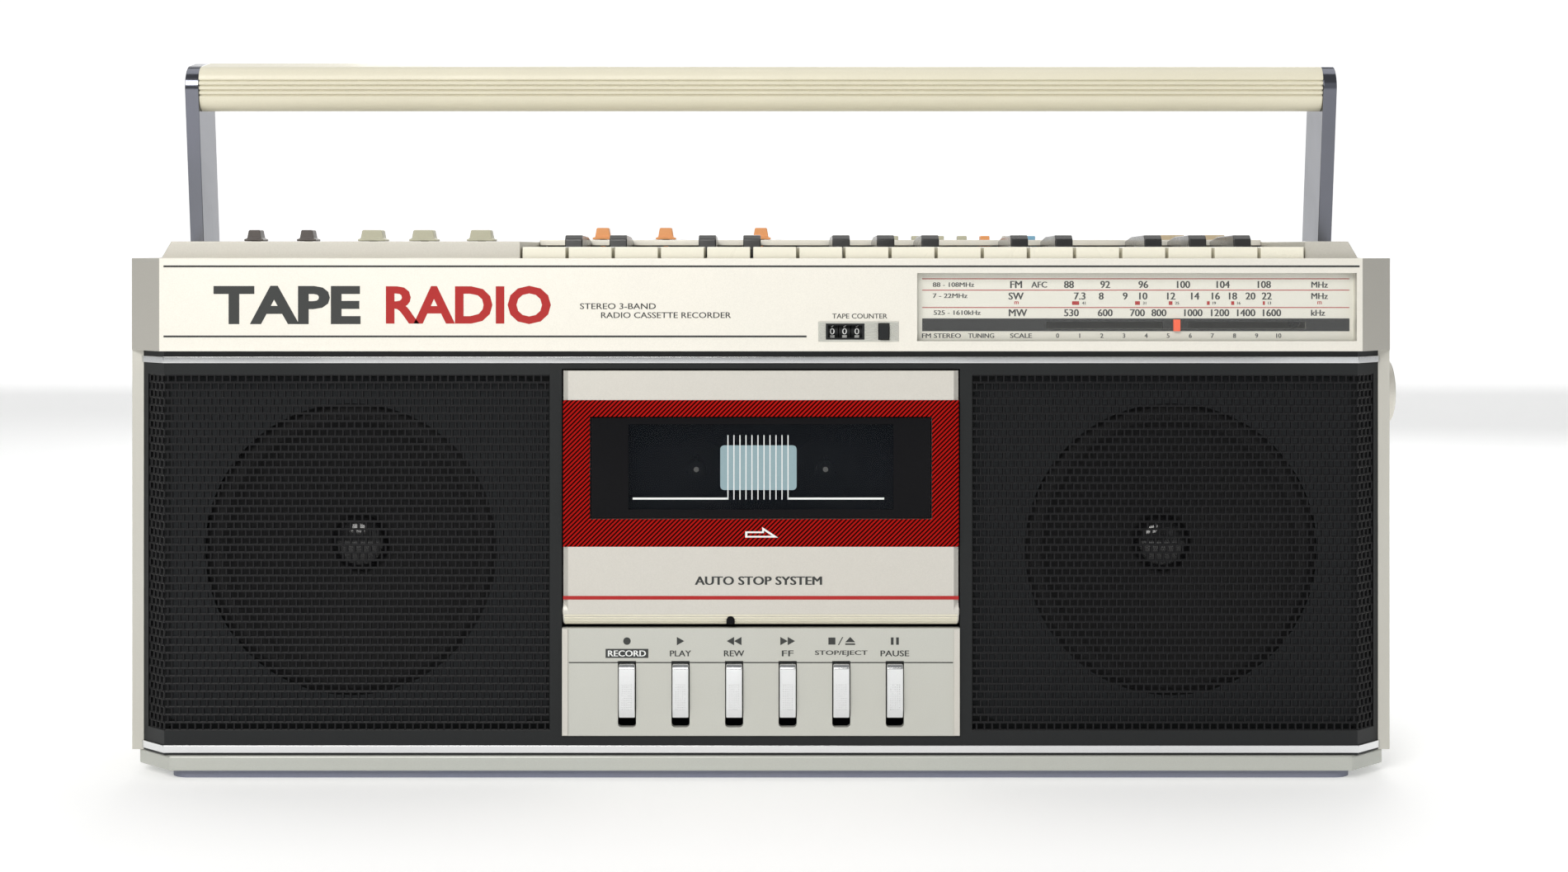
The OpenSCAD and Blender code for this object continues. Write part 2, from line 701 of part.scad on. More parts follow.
module cassette_door() color(cream) {
    difference() {
        translate([0, 0, hinge_z]) linear_extrude(door_h - door_roll_r)
            plan(door_w, door_front, flange_y, 1.6);
        block([-win_w / 2, door_front - 1, win_z[0]], [win_w / 2, flange_y + 1, win_z[1]]);
    }
    rod_x(hinge_y, hinge_z, -door_w / 2, door_w / 2, door_roll_r);
    rod_x(hinge_y, hinge_z, -bay_half - 2, bay_half + 2, hinge_pin_r);
}

module door_window() color([0.2, 0.25, 0.3, 0.6]) {
    block([-win_w / 2 + win_gap, door_front + 0.2, win_z[0] + win_gap],
        [win_w / 2 - win_gap, flange_y, win_z[1] - win_gap]);
    block([-win_w / 2 - 2.5, flange_y, win_z[0] - 3], [win_w / 2 + 2.5, holder_y0, win_z[1] + 3]);
}

module cassette_holder() color([0.25, 0.25, 0.27]) {
    side = cassette_w / 2;
    difference() {
        block([-side - 2, holder_y0, holder_z0], [side + 2, holder_y0 + holder_t, holder_z1]);
        block([-side + 5, holder_y0 - 1, win_z[0] + 1], [side - 5, holder_y0 + 5, win_z[1] - 1]);
    }
    both_sides() {
        block([side, holder_y0, holder_z0], [side + 2, holder_y1, holder_z1]);
        block([side - 6, holder_y1, holder_z0], [side + 2, holder_y1 + 1, holder_z1]);
        block([shelf_gap, holder_y0, holder_z0], [side + 2, holder_y1, holder_z0 + 2]);
    }
}

// Transport panel and its keys

panel_front = front_y - 1;
panel_d = 3;
lever_z0 = bay_z + 6.3;
lever_front = front_y - 3.2;
slot_side = 0.3;
slot_down = lever_travel + 0.8;
slot_corner = 1.2;

// Slot of a lever key, with its two lower corners rounded
module lever_slot(i) {
    x = (i - 2.5) * lever_pitch;
    half = lever_w / 2 + slot_side;
    z0 = lever_z0 - slot_down;
    block([x - half, front_y - 5, z0 + slot_corner], [x + half, rib_y, lever_z0 + lever_h + 0.8]);
    block([x - half + slot_corner, front_y - 5, z0], [x + half - slot_corner, rib_y, z0 + 5]);
    for (s = [-1, 1]) rod_y(x + s * (half - slot_corner), z0 + slot_corner, front_y - 5, rib_y, slot_corner);
}

module transport_panel() color([0.78, 0.77, 0.74]) {
    half = bay_half - 0.1;
    difference() {
        block([-half, panel_front, bay_z + 0.4], [half, panel_front + panel_d, door_z - 1]);
        for (i = [0 : 5]) lever_slot(i);
    }
    both_sides() block([half - 1.5, panel_front + panel_d, bay_z + 0.4], [half, rib_y, door_z - 6]);
}

module lever_key(i) color(chrome) {
    x = (i - 2.5) * lever_pitch;
    back = panel_front + panel_d + 0.6;
    z1 = lever_z0 + lever_h;
    translate([x - lever_w / 2, 0, 0]) rotate([90, 0, 90]) linear_extrude(lever_w)
        polygon([[back, lever_z0], [lever_front + 1.6, lever_z0], [lever_front, lever_z0 + 3.2],
            [lever_front + 0.5, z1 - 1.2], [lever_front + 1.4, z1], [back, z1]]);
    // Slider behind the panel
    block([x - 4, back, lever_z0 + 2], [x + 4, back + 2.5, z1 + 5]);
}

// Tape drive

plate_t = 2;
spindle_r = 1.8;
hub_r = 3;
reel_r = 10;
reel_y = rib_y - 1.8;
capstan_x = 14;
capstan_z = hub_z - 34;
capstan_r = 1;
flywheel_r = 16;
motor_x = -30;
motor_z = hub_z - 60;
motor_r = 13;

module deck_chassis() color([0.6, 0.61, 0.62]) difference() {
    block([-rail_x, rib_y, bay_z], [rail_x, rib_y + plate_t, bay_top]);
    for (s = [-1, 1]) rod_y(s * hub_pitch / 2, hub_z, rib_y - 1, rib_y + 5, spindle_r + run_fit);
    rod_y(capstan_x, capstan_z, rib_y - 1, rib_y + 5, capstan_r + run_fit);
    rod_y(motor_x, motor_z, rib_y - 1, rib_y + 5, 3);
}

module spindle(s) color([0.92, 0.92, 0.9]) {
    x = s * hub_pitch / 2;
    rod_y(x, hub_z, holder_y0 + 7, reel_y, hub_r);
    for (a = [0 : 120 : 240]) translate([x, 0, hub_z]) rotate([0, a, 0])
        block([-0.5, holder_y0 + 8, 0], [0.5, reel_y, hub_r + 1]);
    rod_y(x, hub_z, reel_y, rib_y - 0.3, reel_r);
    rod_y(x, hub_z, rib_y - 0.4, rib_y + plate_t + 3.4, spindle_r);
    rod_y(x, hub_z, rib_y + plate_t + 0.3, rib_y + plate_t + 3, hub_r + 1);
}

module capstan_flywheel() color([0.7, 0.68, 0.6]) {
    rod_y(capstan_x, capstan_z, rib_y - 10, rib_y + 4, capstan_r);
    rod_y(capstan_x, capstan_z, rib_y + 3.5, rib_y + 8, flywheel_r);
}

module drive_motor() color([0.7, 0.7, 0.72]) {
    rod_y(motor_x, motor_z, rib_y + plate_t, rib_y + 29, motor_r);
    rod_y(motor_x, motor_z, rib_y - 0.5, rib_y + plate_t, 2.6);
}

bridge_z = hub_z - 52;
bridge_half = 28;
bridge_y = [rib_y - 1.8, rib_y - 0.3];

module head_bridge() color([0.65, 0.65, 0.67]) {
    block([-bridge_half, bridge_y[0], bridge_z], [bridge_half, bridge_y[1], bridge_z + 12]);
    // Tape head
    block([-6, bridge_y[0] - 9, bridge_z + 8], [6, bridge_y[0], bridge_z + 13]);
    // Pinch roller
    rod_y(capstan_x, bridge_z + 8, bridge_y[0] - 8, bridge_y[0], 4);
}

// Tuning knob

module tuning_knob() color(silver) {
    rod_x(tuning_y, tuning_z, cab_w / 2 + 0.4, cab_w / 2 + 0.4 + tuning_t, tuning_r);
    rod_x(tuning_y, tuning_z, cab_w / 2 - wall - 6, cab_w / 2 + 0.4, tuning_shaft_r);
    rod_x(tuning_y, tuning_z, cab_w / 2 - wall - 6, cab_w / 2 - wall - 0.4, tuning_r - 3);
}

base_tray();
base_foot();
front_frame();
chrome_trims();
rear_cabinet();
head_fascia();
top_cover();
key_panel();
speaker_grilles();
speaker_frames();
speaker_cones();
transport_panel();
deck_chassis();
head_bridge();
drive_motor();
circuit_boards();
dial_plate();
dial_window();
dial_pointer();
counter_housing();
counter_wheels();
counter_reset_button();
battery_cover();
case_screws();
rear_sockets();
handle_arms();
handle_grip();
cassette_door();
door_window();
cassette_holder();
lever_key(0);  // record_key
lever_key(1);  // play_key
lever_key(2);  // rewind_key
lever_key(3);  // fast_forward_key
lever_key(4);  // stop_eject_key
lever_key(5);  // pause_key
spindle(-1);  // supply_spindle
spindle(1);  // take_up_spindle
capstan_flywheel();
tuning_knob();
color([0.3, 0.26, 0.22]) left_knob(0, 5);  // function_knob
color([0.3, 0.26, 0.22]) left_knob(1, 5);  // band_knob
color(cream) left_knob(2, 7.9);  // volume_knob
color(cream) left_knob(3, 7.9);  // balance_knob
color(cream) left_knob(4, 7.9);  // tone_knob
color([0.95, 0.62, 0.42]) panel_slider(0);  // piano_volume_slider
color([0.95, 0.62, 0.42]) panel_slider(1);  // rhythm_volume_slider
color([0.95, 0.62, 0.42]) panel_slider(2);  // tempo_slider
color(cream) small_button(0);  // rhythm_button_1
color(cream) small_button(1);  // rhythm_button_2
color(cream) small_button(2);  // rhythm_button_3
color(cream) small_button(3);  // rhythm_button_4
color([0.95, 0.55, 0.3]) small_button(4);  // rhythm_button_5
color(cream) small_button(5);  // rhythm_button_6
color([0.35, 0.5, 0.75]) small_button(6);  // rhythm_button_7
color([0.8, 0.7, 0.55])  // start_button
    push_button(wide_xs[0] + wide_size[0] / 2, wide_size, 1.8);
color([0.8, 0.7, 0.55])  // fill_in_button
    push_button(wide_xs[1] + wide_size[0] / 2, wide_size, 1.8);
white_comb(0);  // white_keys_a
white_comb(1);  // white_keys_b
black_comb();  // black_keys
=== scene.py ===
# Portable stereo radio cassette recorder with a mini piano: looks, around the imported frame
import json
import math
import bmesh
import bpy
from mathutils import Matrix, Vector


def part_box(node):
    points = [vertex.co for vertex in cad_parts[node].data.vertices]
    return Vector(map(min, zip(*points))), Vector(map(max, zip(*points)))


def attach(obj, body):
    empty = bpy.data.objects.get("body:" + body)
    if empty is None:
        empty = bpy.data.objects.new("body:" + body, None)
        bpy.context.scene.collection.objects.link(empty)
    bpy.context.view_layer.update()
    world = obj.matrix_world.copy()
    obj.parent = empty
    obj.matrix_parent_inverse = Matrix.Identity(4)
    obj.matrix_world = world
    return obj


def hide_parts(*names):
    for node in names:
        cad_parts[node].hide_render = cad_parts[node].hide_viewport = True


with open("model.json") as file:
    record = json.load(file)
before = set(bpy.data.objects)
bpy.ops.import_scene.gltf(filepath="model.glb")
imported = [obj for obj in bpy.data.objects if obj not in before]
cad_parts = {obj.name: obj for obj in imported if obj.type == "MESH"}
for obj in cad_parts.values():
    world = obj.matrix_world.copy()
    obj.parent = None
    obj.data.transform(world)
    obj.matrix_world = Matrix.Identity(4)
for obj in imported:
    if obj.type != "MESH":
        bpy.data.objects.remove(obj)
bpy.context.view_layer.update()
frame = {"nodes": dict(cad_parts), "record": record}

mm = 0.001
nodes = frame["nodes"]
bodyOf = {node: body for body, group in frame["record"]["behaviour"]["bodies"].items() for node in group}
scene = bpy.context.scene

# Camera, lights and floor. The shifts are shares of the picture's width
view = {"distance": 0.78, "eyeHeight": 0.173, "planeWidth": 0.5076, "shiftX": 0.01473, "shiftY": -0.12020,
        "sensor": 36.0}


def makeCamera():
    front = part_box("head_fascia")[0].y
    data = bpy.data.cameras.new("camera")
    data.sensor_width = view["sensor"]
    data.lens = view["sensor"] * view["distance"] / view["planeWidth"]
    data.shift_x = view["shiftX"]
    data.shift_y = view["shiftY"]
    data.clip_start = 0.01
    camera = bpy.data.objects.new("camera", data)
    camera.location = (0, front - view["distance"], view["eyeHeight"])
    camera.rotation_euler = (math.radians(90), 0, 0)
    scene.collection.objects.link(camera)
    scene.camera = camera


def makeLight(name, place, target, size, power, color=(1, 1, 1)):
    data = bpy.data.lights.new(name, "AREA")
    data.shape = "RECTANGLE"
    data.size, data.size_y = size
    data.energy = power
    data.color = color
    lamp = bpy.data.objects.new(name, data)
    lamp.location = place
    lamp.rotation_euler = (Vector(target) - Vector(place)).to_track_quat("-Z", "Y").to_euler()
    scene.collection.objects.link(lamp)


lamps = {
    "keyLight": ((-0.45, -1.55, 0.95), (0, 0, 0.10), (0.9, 0.7), 20, (1.0, 0.985, 0.96)),
    "fillLight": ((0.85, -1.50, 0.45), (0, 0, 0.08), (0.8, 1.0), 0.8, (0.96, 0.98, 1.0)),
    "topLight": ((0.0, 0.15, 1.25), (0, 0, 0.10), (1.3, 0.8), 4.0, (1.0, 1.0, 1.0)),
    "backLight": ((0.2, 1.20, 0.75), (0, 0, 0.15), (1.2, 0.6), 6, (1.0, 1.0, 1.0)),
}
floorColor = (0.86, 0.86, 0.855)


def makeStage():
    world = bpy.data.worlds.new("studio")
    world.use_nodes = True
    back = world.node_tree.nodes["Background"]
    back.inputs["Color"].default_value = (0.93, 0.94, 0.95, 1)
    back.inputs["Strength"].default_value = 0.28
    scene.world = world
    for name, (place, target, size, power, color) in lamps.items():
        makeLight(name, place, target, size, power, color)
    # Paper sweep: flat floor that curves up behind the object
    mesh = bpy.data.meshes.new("floor")
    reach, bend, wall = 5.0, 1.0, 3.5
    profile = [(-reach, 0.0)]
    for step in range(13):
        a = math.radians(90 * step / 12)
        profile.append((2.0 + bend * math.sin(a), bend * (1 - math.cos(a))))
    profile.append((2.0 + bend, wall))
    corners = [(x, y, z) for y, z in profile for x in (-reach, reach)]
    mesh.from_pydata(corners, [], [(2 * i, 2 * i + 1, 2 * i + 3,
                                    2 * i + 2) for i in range(len(profile) - 1)])
    mesh.polygons.foreach_set("use_smooth", [True] * len(mesh.polygons))
    floor = bpy.data.objects.new("floor", mesh)
    scene.collection.objects.link(floor)
    material = bpy.data.materials.new("floorPaper")
    material.use_nodes = True
    shader = material.node_tree.nodes["Principled BSDF"]
    shader.inputs["Base Color"].default_value = (*floorColor, 1)
    shader.inputs["Roughness"].default_value = 0.8
    # The paper glows, and more so where it stands up, to read as white as the floor
    tree = material.node_tree
    parts = tree.nodes.new("ShaderNodeSeparateXYZ")
    tree.links.new(tree.nodes.new("ShaderNodeTexCoord").outputs["Object"], parts.inputs[0])
    glow = tree.nodes.new("ShaderNodeMapRange")
    glow.inputs["From Min"].default_value = 0.0
    glow.inputs["From Max"].default_value = 0.012
    glow.inputs["To Min"].default_value = 0.30
    glow.inputs["To Max"].default_value = 0.62
    tree.links.new(parts.outputs["Z"], glow.inputs["Value"])
    shader.inputs["Emission Color"].default_value = (1, 1, 1, 1)
    tree.links.new(glow.outputs[0], shader.inputs["Emission Strength"])
    mesh.materials.append(material)
    scene.view_settings.view_transform = "Standard"
    scene.view_settings.exposure = 0.0


makeCamera()
makeStage()
print("stage ready")


# Shader groups and the nodes they are built from


def addNode(tree, kind, **inputs):
    node = tree.nodes.new(kind)
    for name, value in inputs.items():
        node.inputs[name.replace("_", " ")].default_value = value
    return node


def maths(tree, operation, a, b=0.0):
    node = tree.nodes.new("ShaderNodeMath")
    node.operation = operation
    for index, value in enumerate((a, b)):
        if isinstance(value, (int, float)):
            node.inputs[index].default_value = value
        else:
            tree.links.new(value, node.inputs[index])
    return node.outputs[0]


def mixColor(tree, factor, a, b):
    node = tree.nodes.new("ShaderNodeMix")
    node.data_type = "RGBA"
    for socket, value in ((node.inputs[0], factor), (node.inputs[6], a), (node.inputs[7], b)):
        if isinstance(value, (int, float)):
            socket.default_value = value
        elif isinstance(value, tuple):
            socket.default_value = (*value[:3], 1)
        else:
            tree.links.new(value, socket)
    return node.outputs[2]


def newGroup(name, inputs, outputs):
    group = bpy.data.node_groups.new(name, "ShaderNodeTree")
    for label, kind, value in inputs:
        socket = group.interface.new_socket(label, in_out="INPUT", socket_type=kind)
        if value is not None:
            socket.default_value = value
    for label, kind in outputs:
        group.interface.new_socket(label, in_out="OUTPUT", socket_type=kind)
    start = group.nodes.new("NodeGroupInput")
    end = group.nodes.new("NodeGroupOutput")
    return group, start, end


# Fine moulded or sprayed grain: a speckle mask for colour and a height for bump
def makeGrainGroup():
    group, start, end = newGroup(
        "surfaceGrain",
        [("Vector", "NodeSocketVector", None), ("Scale", "NodeSocketFloat", 2500.0),
         ("Coarse", "NodeSocketFloat", 300.0)],
        [("Speckle", "NodeSocketFloat"), ("Height", "NodeSocketFloat")],
    )
    fine = addNode(group, "ShaderNodeTexNoise", Detail=3.0, Roughness=0.6)
    coarse = addNode(group, "ShaderNodeTexNoise", Detail=2.0, Roughness=0.5)
    group.links.new(start.outputs["Vector"], fine.inputs["Vector"])
    group.links.new(start.outputs["Vector"], coarse.inputs["Vector"])
    group.links.new(start.outputs["Scale"], fine.inputs["Scale"])
    group.links.new(start.outputs["Coarse"], coarse.inputs["Scale"])
    group.links.new(fine.outputs["Fac"], end.inputs["Speckle"])
    both = maths(group, "ADD", maths(group, "MULTIPLY", fine.outputs["Fac"], 0.7),
                 maths(group, "MULTIPLY", coarse.outputs["Fac"], 0.3))
    group.links.new(both, end.inputs["Height"])
    return group


# Handling marks: soft cloudy smudges, and dust that settles on what faces up
def makeHandlingGroup():
    group, start, end = newGroup(
        "handlingMarks",
        [("Vector", "NodeSocketVector", None), ("Cloud Scale", "NodeSocketFloat", 18.0),
         ("Dust", "NodeSocketFloat", 0.2)],
        [("Smudge", "NodeSocketFloat"), ("Dust", "NodeSocketFloat")],
    )
    cloud = addNode(group, "ShaderNodeTexNoise", Detail=5.0, Roughness=0.62, Distortion=0.6)
    group.links.new(start.outputs["Vector"], cloud.inputs["Vector"])
    group.links.new(start.outputs["Cloud Scale"], cloud.inputs["Scale"])
    span = group.nodes.new("ShaderNodeMapRange")
    span.inputs["From Min"].default_value = 0.35
    span.inputs["From Max"].default_value = 0.68
    group.links.new(cloud.outputs["Fac"], span.inputs["Value"])
    group.links.new(span.outputs[0], end.inputs["Smudge"])
    geometry = group.nodes.new("ShaderNodeNewGeometry")
    parts = group.nodes.new("ShaderNodeSeparateXYZ")
    group.links.new(geometry.outputs["Normal"], parts.inputs[0])
    up = maths(group, "MAXIMUM", parts.outputs["Z"], 0.0)
    specks = addNode(group, "ShaderNodeTexNoise", Scale=900.0, Detail=2.0)
    group.links.new(start.outputs["Vector"], specks.inputs["Vector"])
    settled = maths(group, "MULTIPLY", maths(group, "MULTIPLY", up, specks.outputs["Fac"]),
                    start.outputs["Dust"])
    group.links.new(settled, end.inputs["Dust"])
    return group


# Hairline scratches that run roughly along X
def makeScratchGroup():
    group, start, end = newGroup(
        "hairlines",
        [("Vector", "NodeSocketVector", None), ("Density", "NodeSocketFloat", 900.0)],
        [("Lines", "NodeSocketFloat")],
    )
    place = group.nodes.new("ShaderNodeMapping")
    place.inputs["Scale"].default_value = (0.02, 1.0, 1.0)
    noise = addNode(group, "ShaderNodeTexNoise", Detail=2.0, Roughness=0.5)
    group.links.new(start.outputs["Vector"], place.inputs["Vector"])
    group.links.new(place.outputs[0], noise.inputs["Vector"])
    group.links.new(start.outputs["Density"], noise.inputs["Scale"])
    group.links.new(noise.outputs["Fac"], end.inputs["Lines"])
    return group


grainGroup = makeGrainGroup()
handlingGroup = makeHandlingGroup()
scratchGroup = makeScratchGroup()


def placeGroup(tree, group, coordinates, **values):
    node = tree.nodes.new("ShaderNodeGroup")
    node.node_tree = group
    tree.links.new(coordinates, node.inputs["Vector"])
    for name, value in values.items():
        node.inputs[name].default_value = value
    return node


# One finish: colour with speckle and smudges, roughness that varies, and a fine bump
def makeFinish(name, color, rough, metallic=0.0, grain=2500.0, coarse=300.0, bump=0.05, speckle=0.06,
               smudge=0.08, dust=0.12, coat=0.0, specular=0.5, scratches=0.0, tint=(0.45, 0.40, 0.32),
               sideShade=1.0):
    material = bpy.data.materials.new(name)
    material.use_nodes = True
    tree = material.node_tree
    shader = tree.nodes["Principled BSDF"]
    where = tree.nodes.new("ShaderNodeTexCoord").outputs["Object"]
    fine = placeGroup(tree, grainGroup, where, Scale=grain, Coarse=coarse)
    marks = placeGroup(tree, handlingGroup, where, Dust=dust)
    dark = tuple(c * (1 - speckle) for c in color)
    light = tuple(min(1.0, c * (1 + speckle)) for c in color)
    base = mixColor(tree, fine.outputs["Speckle"], dark, light)
    if sideShade < 1.0:
        # Painted shade: faces that look sideways along x are darkened, standing in for the shade the lamps
        # leave on the end chamfers
        facing = tree.nodes.new("ShaderNodeSeparateXYZ")
        tree.links.new(tree.nodes.new("ShaderNodeTexCoord").outputs["Normal"], facing.inputs[0])
        side = maths(tree, "GREATER_THAN", maths(tree, "ABSOLUTE", facing.outputs["X"], 0.0), 0.3)
        paintedSideShade = mixColor(tree, fine.outputs["Speckle"], tuple(c * sideShade for c in dark),
                            tuple(c * sideShade for c in light))
        base = mixColor(tree, side, base, paintedSideShade)
    base = mixColor(tree, maths(tree, "MULTIPLY", marks.outputs["Smudge"], smudge), base, tint)
    base = mixColor(tree, marks.outputs["Dust"], base, (0.55, 0.53, 0.49))
    tree.links.new(base, shader.inputs["Base Color"])
    level = maths(tree, "ADD", maths(tree, "MULTIPLY", marks.outputs["Smudge"], 0.12), rough - 0.04)
    level = maths(tree, "ADD", level, marks.outputs["Dust"])
    tree.links.new(level, shader.inputs["Roughness"])
    height = fine.outputs["Height"]
    if scratches:
        lines = placeGroup(tree, scratchGroup, where)
        height = maths(tree, "ADD", height, maths(tree, "MULTIPLY", lines.outputs["Lines"], scratches))
    relief = addNode(tree, "ShaderNodeBump", Strength=bump, Distance=0.0004)
    tree.links.new(height, relief.inputs["Height"])
    tree.links.new(relief.outputs["Normal"], shader.inputs["Normal"])
    shader.inputs["Metallic"].default_value = metallic
    shader.inputs["Coat Weight"].default_value = coat
    shader.inputs["Coat Roughness"].default_value = 0.12
    shader.inputs["Specular IOR Level"].default_value = specular
    return material


finishes = {
    "silverPaint": dict(color=(0.80, 0.775, 0.70), rough=0.40, metallic=0.35, grain=3200, bump=0.10,
                        speckle=0.10, coat=0.15),
    # Fascia silver with painted shade on its sideways end chamfers
    "fasciaPaintShadedSides": dict(color=(0.80, 0.775, 0.70), rough=0.40, metallic=0.35, grain=3200, bump=0.10,
                        speckle=0.10, coat=0.15, sideShade=0.60),
    # Top cover: the same silver paint darkened, painted shade on the top block
    "topPaintShaded": dict(color=(0.58, 0.56, 0.50), rough=0.40, metallic=0.35, grain=3200, bump=0.10,
                     speckle=0.10, coat=0.15),
    "silverShell": dict(color=(0.54, 0.53, 0.48), rough=0.45, metallic=0.30, grain=3000, bump=0.12,
                        speckle=0.08),
    "creamPlastic": dict(color=(0.74, 0.70, 0.55), rough=0.42, grain=1800, bump=0.06, speckle=0.04,
                         coat=0.1),
    "ivoryKey": dict(color=(0.86, 0.83, 0.70), rough=0.28, grain=1500, bump=0.03, speckle=0.03,
                     coat=0.25),
    "blackPlastic": dict(color=(0.013, 0.0145, 0.015), rough=0.36, grain=2200, bump=0.06, speckle=0.15,
                         smudge=0.03, tint=(0.04, 0.04, 0.045), dust=0.03, specular=0.22),
    "blackKey": dict(color=(0.014, 0.014, 0.014), rough=0.26, grain=1500, bump=0.03, speckle=0.1,
                     smudge=0.03, tint=(0.05, 0.05, 0.05), dust=0.05, coat=0.3),
    # Foot plastic whose blue-grey tone is painted shadow from under the case
    "footPlasticShadowTone": dict(color=(0.20, 0.215, 0.29), rough=0.55, grain=1500, bump=0.1, speckle=0.08),
    "grilleMetal": dict(color=(0.006, 0.006, 0.007), rough=0.36, grain=2500, bump=0.04, speckle=0.2,
                        smudge=0.02, tint=(0.02, 0.02, 0.02), dust=0.01, specular=0.22),
    "baffleGrey": dict(color=(0.028, 0.031, 0.034), rough=0.7, grain=1200, coarse=400, bump=0.3,
                       speckle=0.25, smudge=0.05, tint=(0.04, 0.04, 0.04), dust=0.01, specular=0.3),
    "glossBlack": dict(color=(0.005, 0.005, 0.006), rough=0.10, grain=1500, bump=0.01, speckle=0.2,
                       smudge=0.02, tint=(0.02, 0.02, 0.02), dust=0.0, specular=0.06),
    "capLacquer": dict(color=(0.008, 0.008, 0.009), rough=0.09, grain=1500, bump=0.01, speckle=0.2,
                       smudge=0.02, tint=(0.02, 0.02, 0.02), dust=0.0, specular=0.7, coat=0.5),
    "doorPaint": dict(color=(0.60, 0.58, 0.53), rough=0.40, metallic=0.30, grain=3200, bump=0.10,
                      speckle=0.10, coat=0.1),
    "stripPaint": dict(color=(0.50, 0.515, 0.475), rough=0.38, metallic=0.40, grain=3200, bump=0.10,
                       speckle=0.10),
    "lipCream": dict(color=(0.74, 0.71, 0.57), rough=0.42, grain=1800, bump=0.06, speckle=0.04),
    "darkChrome": dict(color=(0.155, 0.16, 0.19), rough=0.17, metallic=1.0, grain=900, coarse=60,
                       bump=0.03, speckle=0.03, smudge=0.15, dust=0.05, tint=(0.16, 0.17, 0.16),
                       scratches=0.4),
    "speakerSteel": dict(color=(0.10, 0.10, 0.11), rough=0.5, metallic=0.7, grain=1500, bump=0.08),
    "speakerPaper": dict(color=(0.012, 0.012, 0.013), rough=0.8, grain=1200, coarse=200, bump=0.5,
                         speckle=0.25, smudge=0.02, tint=(0.04, 0.04, 0.04), dust=0.02),
    "lightGrey": dict(color=(0.53, 0.535, 0.49), rough=0.42, metallic=0.25, grain=3000, bump=0.1,
                      speckle=0.08),
    "steelPlate": dict(color=(0.42, 0.43, 0.44), rough=0.35, metallic=0.9, grain=1200, bump=0.08,
                       scratches=0.8, smudge=0.05),
    "darkSteel": dict(color=(0.020, 0.021, 0.025), rough=0.55, metallic=0.1, grain=1200, bump=0.02,
                      smudge=0.03, tint=(0.05, 0.05, 0.05), dust=0.0, specular=0.15),
    "circuitBoard": dict(color=(0.05, 0.20, 0.10), rough=0.4, grain=900, bump=0.08, speckle=0.1),
    "dialPrint": dict(color=(0.76, 0.75, 0.67), rough=0.45, metallic=0.25, grain=3200, bump=0.06,
                      speckle=0.06),
    "pointerRed": dict(color=(0.92, 0.10, 0.02), rough=0.3, grain=1500, bump=0.02, speckle=0.05,
                       dust=0.0),
    "brownPlastic": dict(color=(0.075, 0.062, 0.058), rough=0.45, grain=1500, bump=0.06, speckle=0.1,
                         dust=0.15),
    "sageCream": dict(color=(0.52, 0.51, 0.38), rough=0.45, grain=1500, bump=0.06, speckle=0.05),
    "orangePlastic": dict(color=(0.86, 0.36, 0.12), rough=0.38, grain=1500, bump=0.05, speckle=0.06),
    "bluePlastic": dict(color=(0.20, 0.42, 0.60), rough=0.38, grain=1500, bump=0.05, speckle=0.06),
    "tanPlastic": dict(color=(0.58, 0.47, 0.31), rough=0.42, grain=1500, bump=0.05, speckle=0.06),
    "nylonWhite": dict(color=(0.70, 0.70, 0.66), rough=0.5, grain=1500, bump=0.05, speckle=0.04),
    "brassWheel": dict(color=(0.72, 0.56, 0.28), rough=0.3, metallic=1.0, grain=1200, bump=0.05,
                       scratches=0.8),
    "chrome": dict(color=(0.76, 0.77, 0.775), rough=0.12, metallic=1.0, grain=900, coarse=60, bump=0.010,
                   speckle=0.02,
                   smudge=0.10, dust=0.05, tint=(0.35, 0.36, 0.34), scratches=0.25),
    "darkInk": dict(color=(0.040, 0.043, 0.042), specular=0.25, rough=0.5, grain=2500, bump=0.03,
                    speckle=0.1, dust=0.0, smudge=0.02),
    "redInk": dict(color=(0.40, 0.016, 0.016), specular=0.25, rough=0.5, grain=2500, bump=0.03,
                   speckle=0.1, dust=0.0, smudge=0.02),
    "whiteInk": dict(color=(0.78, 0.79, 0.78), rough=0.5, grain=2500, bump=0.03, speckle=0.05, dust=0.0,
                     smudge=0.02),
    "paleBlue": dict(color=(0.25, 0.36, 0.395), rough=0.35, specular=0.3, grain=1500, bump=0.03,
                     speckle=0.05, dust=0.0),
}
looks = {name: makeFinish(name, **values) for name, values in finishes.items()}


# Red printed band with dark slanting hatch lines
def makeHatch(name, pitch, red, dark):
    material = makeFinish(name, color=red, rough=0.35, specular=0.03, grain=2200, bump=0.03, speckle=0.08,
                          dust=0.02, smudge=0.03,
                          tint=(0.10, 0.01, 0.01))
    tree = material.node_tree
    shader = tree.nodes["Principled BSDF"]
    before = shader.inputs["Base Color"].links[0].from_socket
    parts = tree.nodes.new("ShaderNodeSeparateXYZ")
    tree.links.new(tree.nodes.new("ShaderNodeTexCoord").outputs["Object"], parts.inputs[0])
    slant = maths(tree, "SUBTRACT", parts.outputs["X"], parts.outputs["Z"])
    wave = maths(tree, "PINGPONG", maths(tree, "DIVIDE", slant, pitch * mm), 0.5)
    edge = tree.nodes.new("ShaderNodeMapRange")
    edge.interpolation_type = "SMOOTHSTEP"
    edge.inputs["From Min"].default_value = 0.19
    edge.inputs["From Max"].default_value = 0.29
    tree.links.new(wave, edge.inputs["Value"])
    tree.links.new(mixColor(tree, edge.outputs[0], dark, before), shader.inputs["Base Color"])
    return material


looks["redHatch"] = makeHatch("redHatch", 1.5, (0.38, 0.006, 0.004), (0.008, 0.0004, 0.0004))


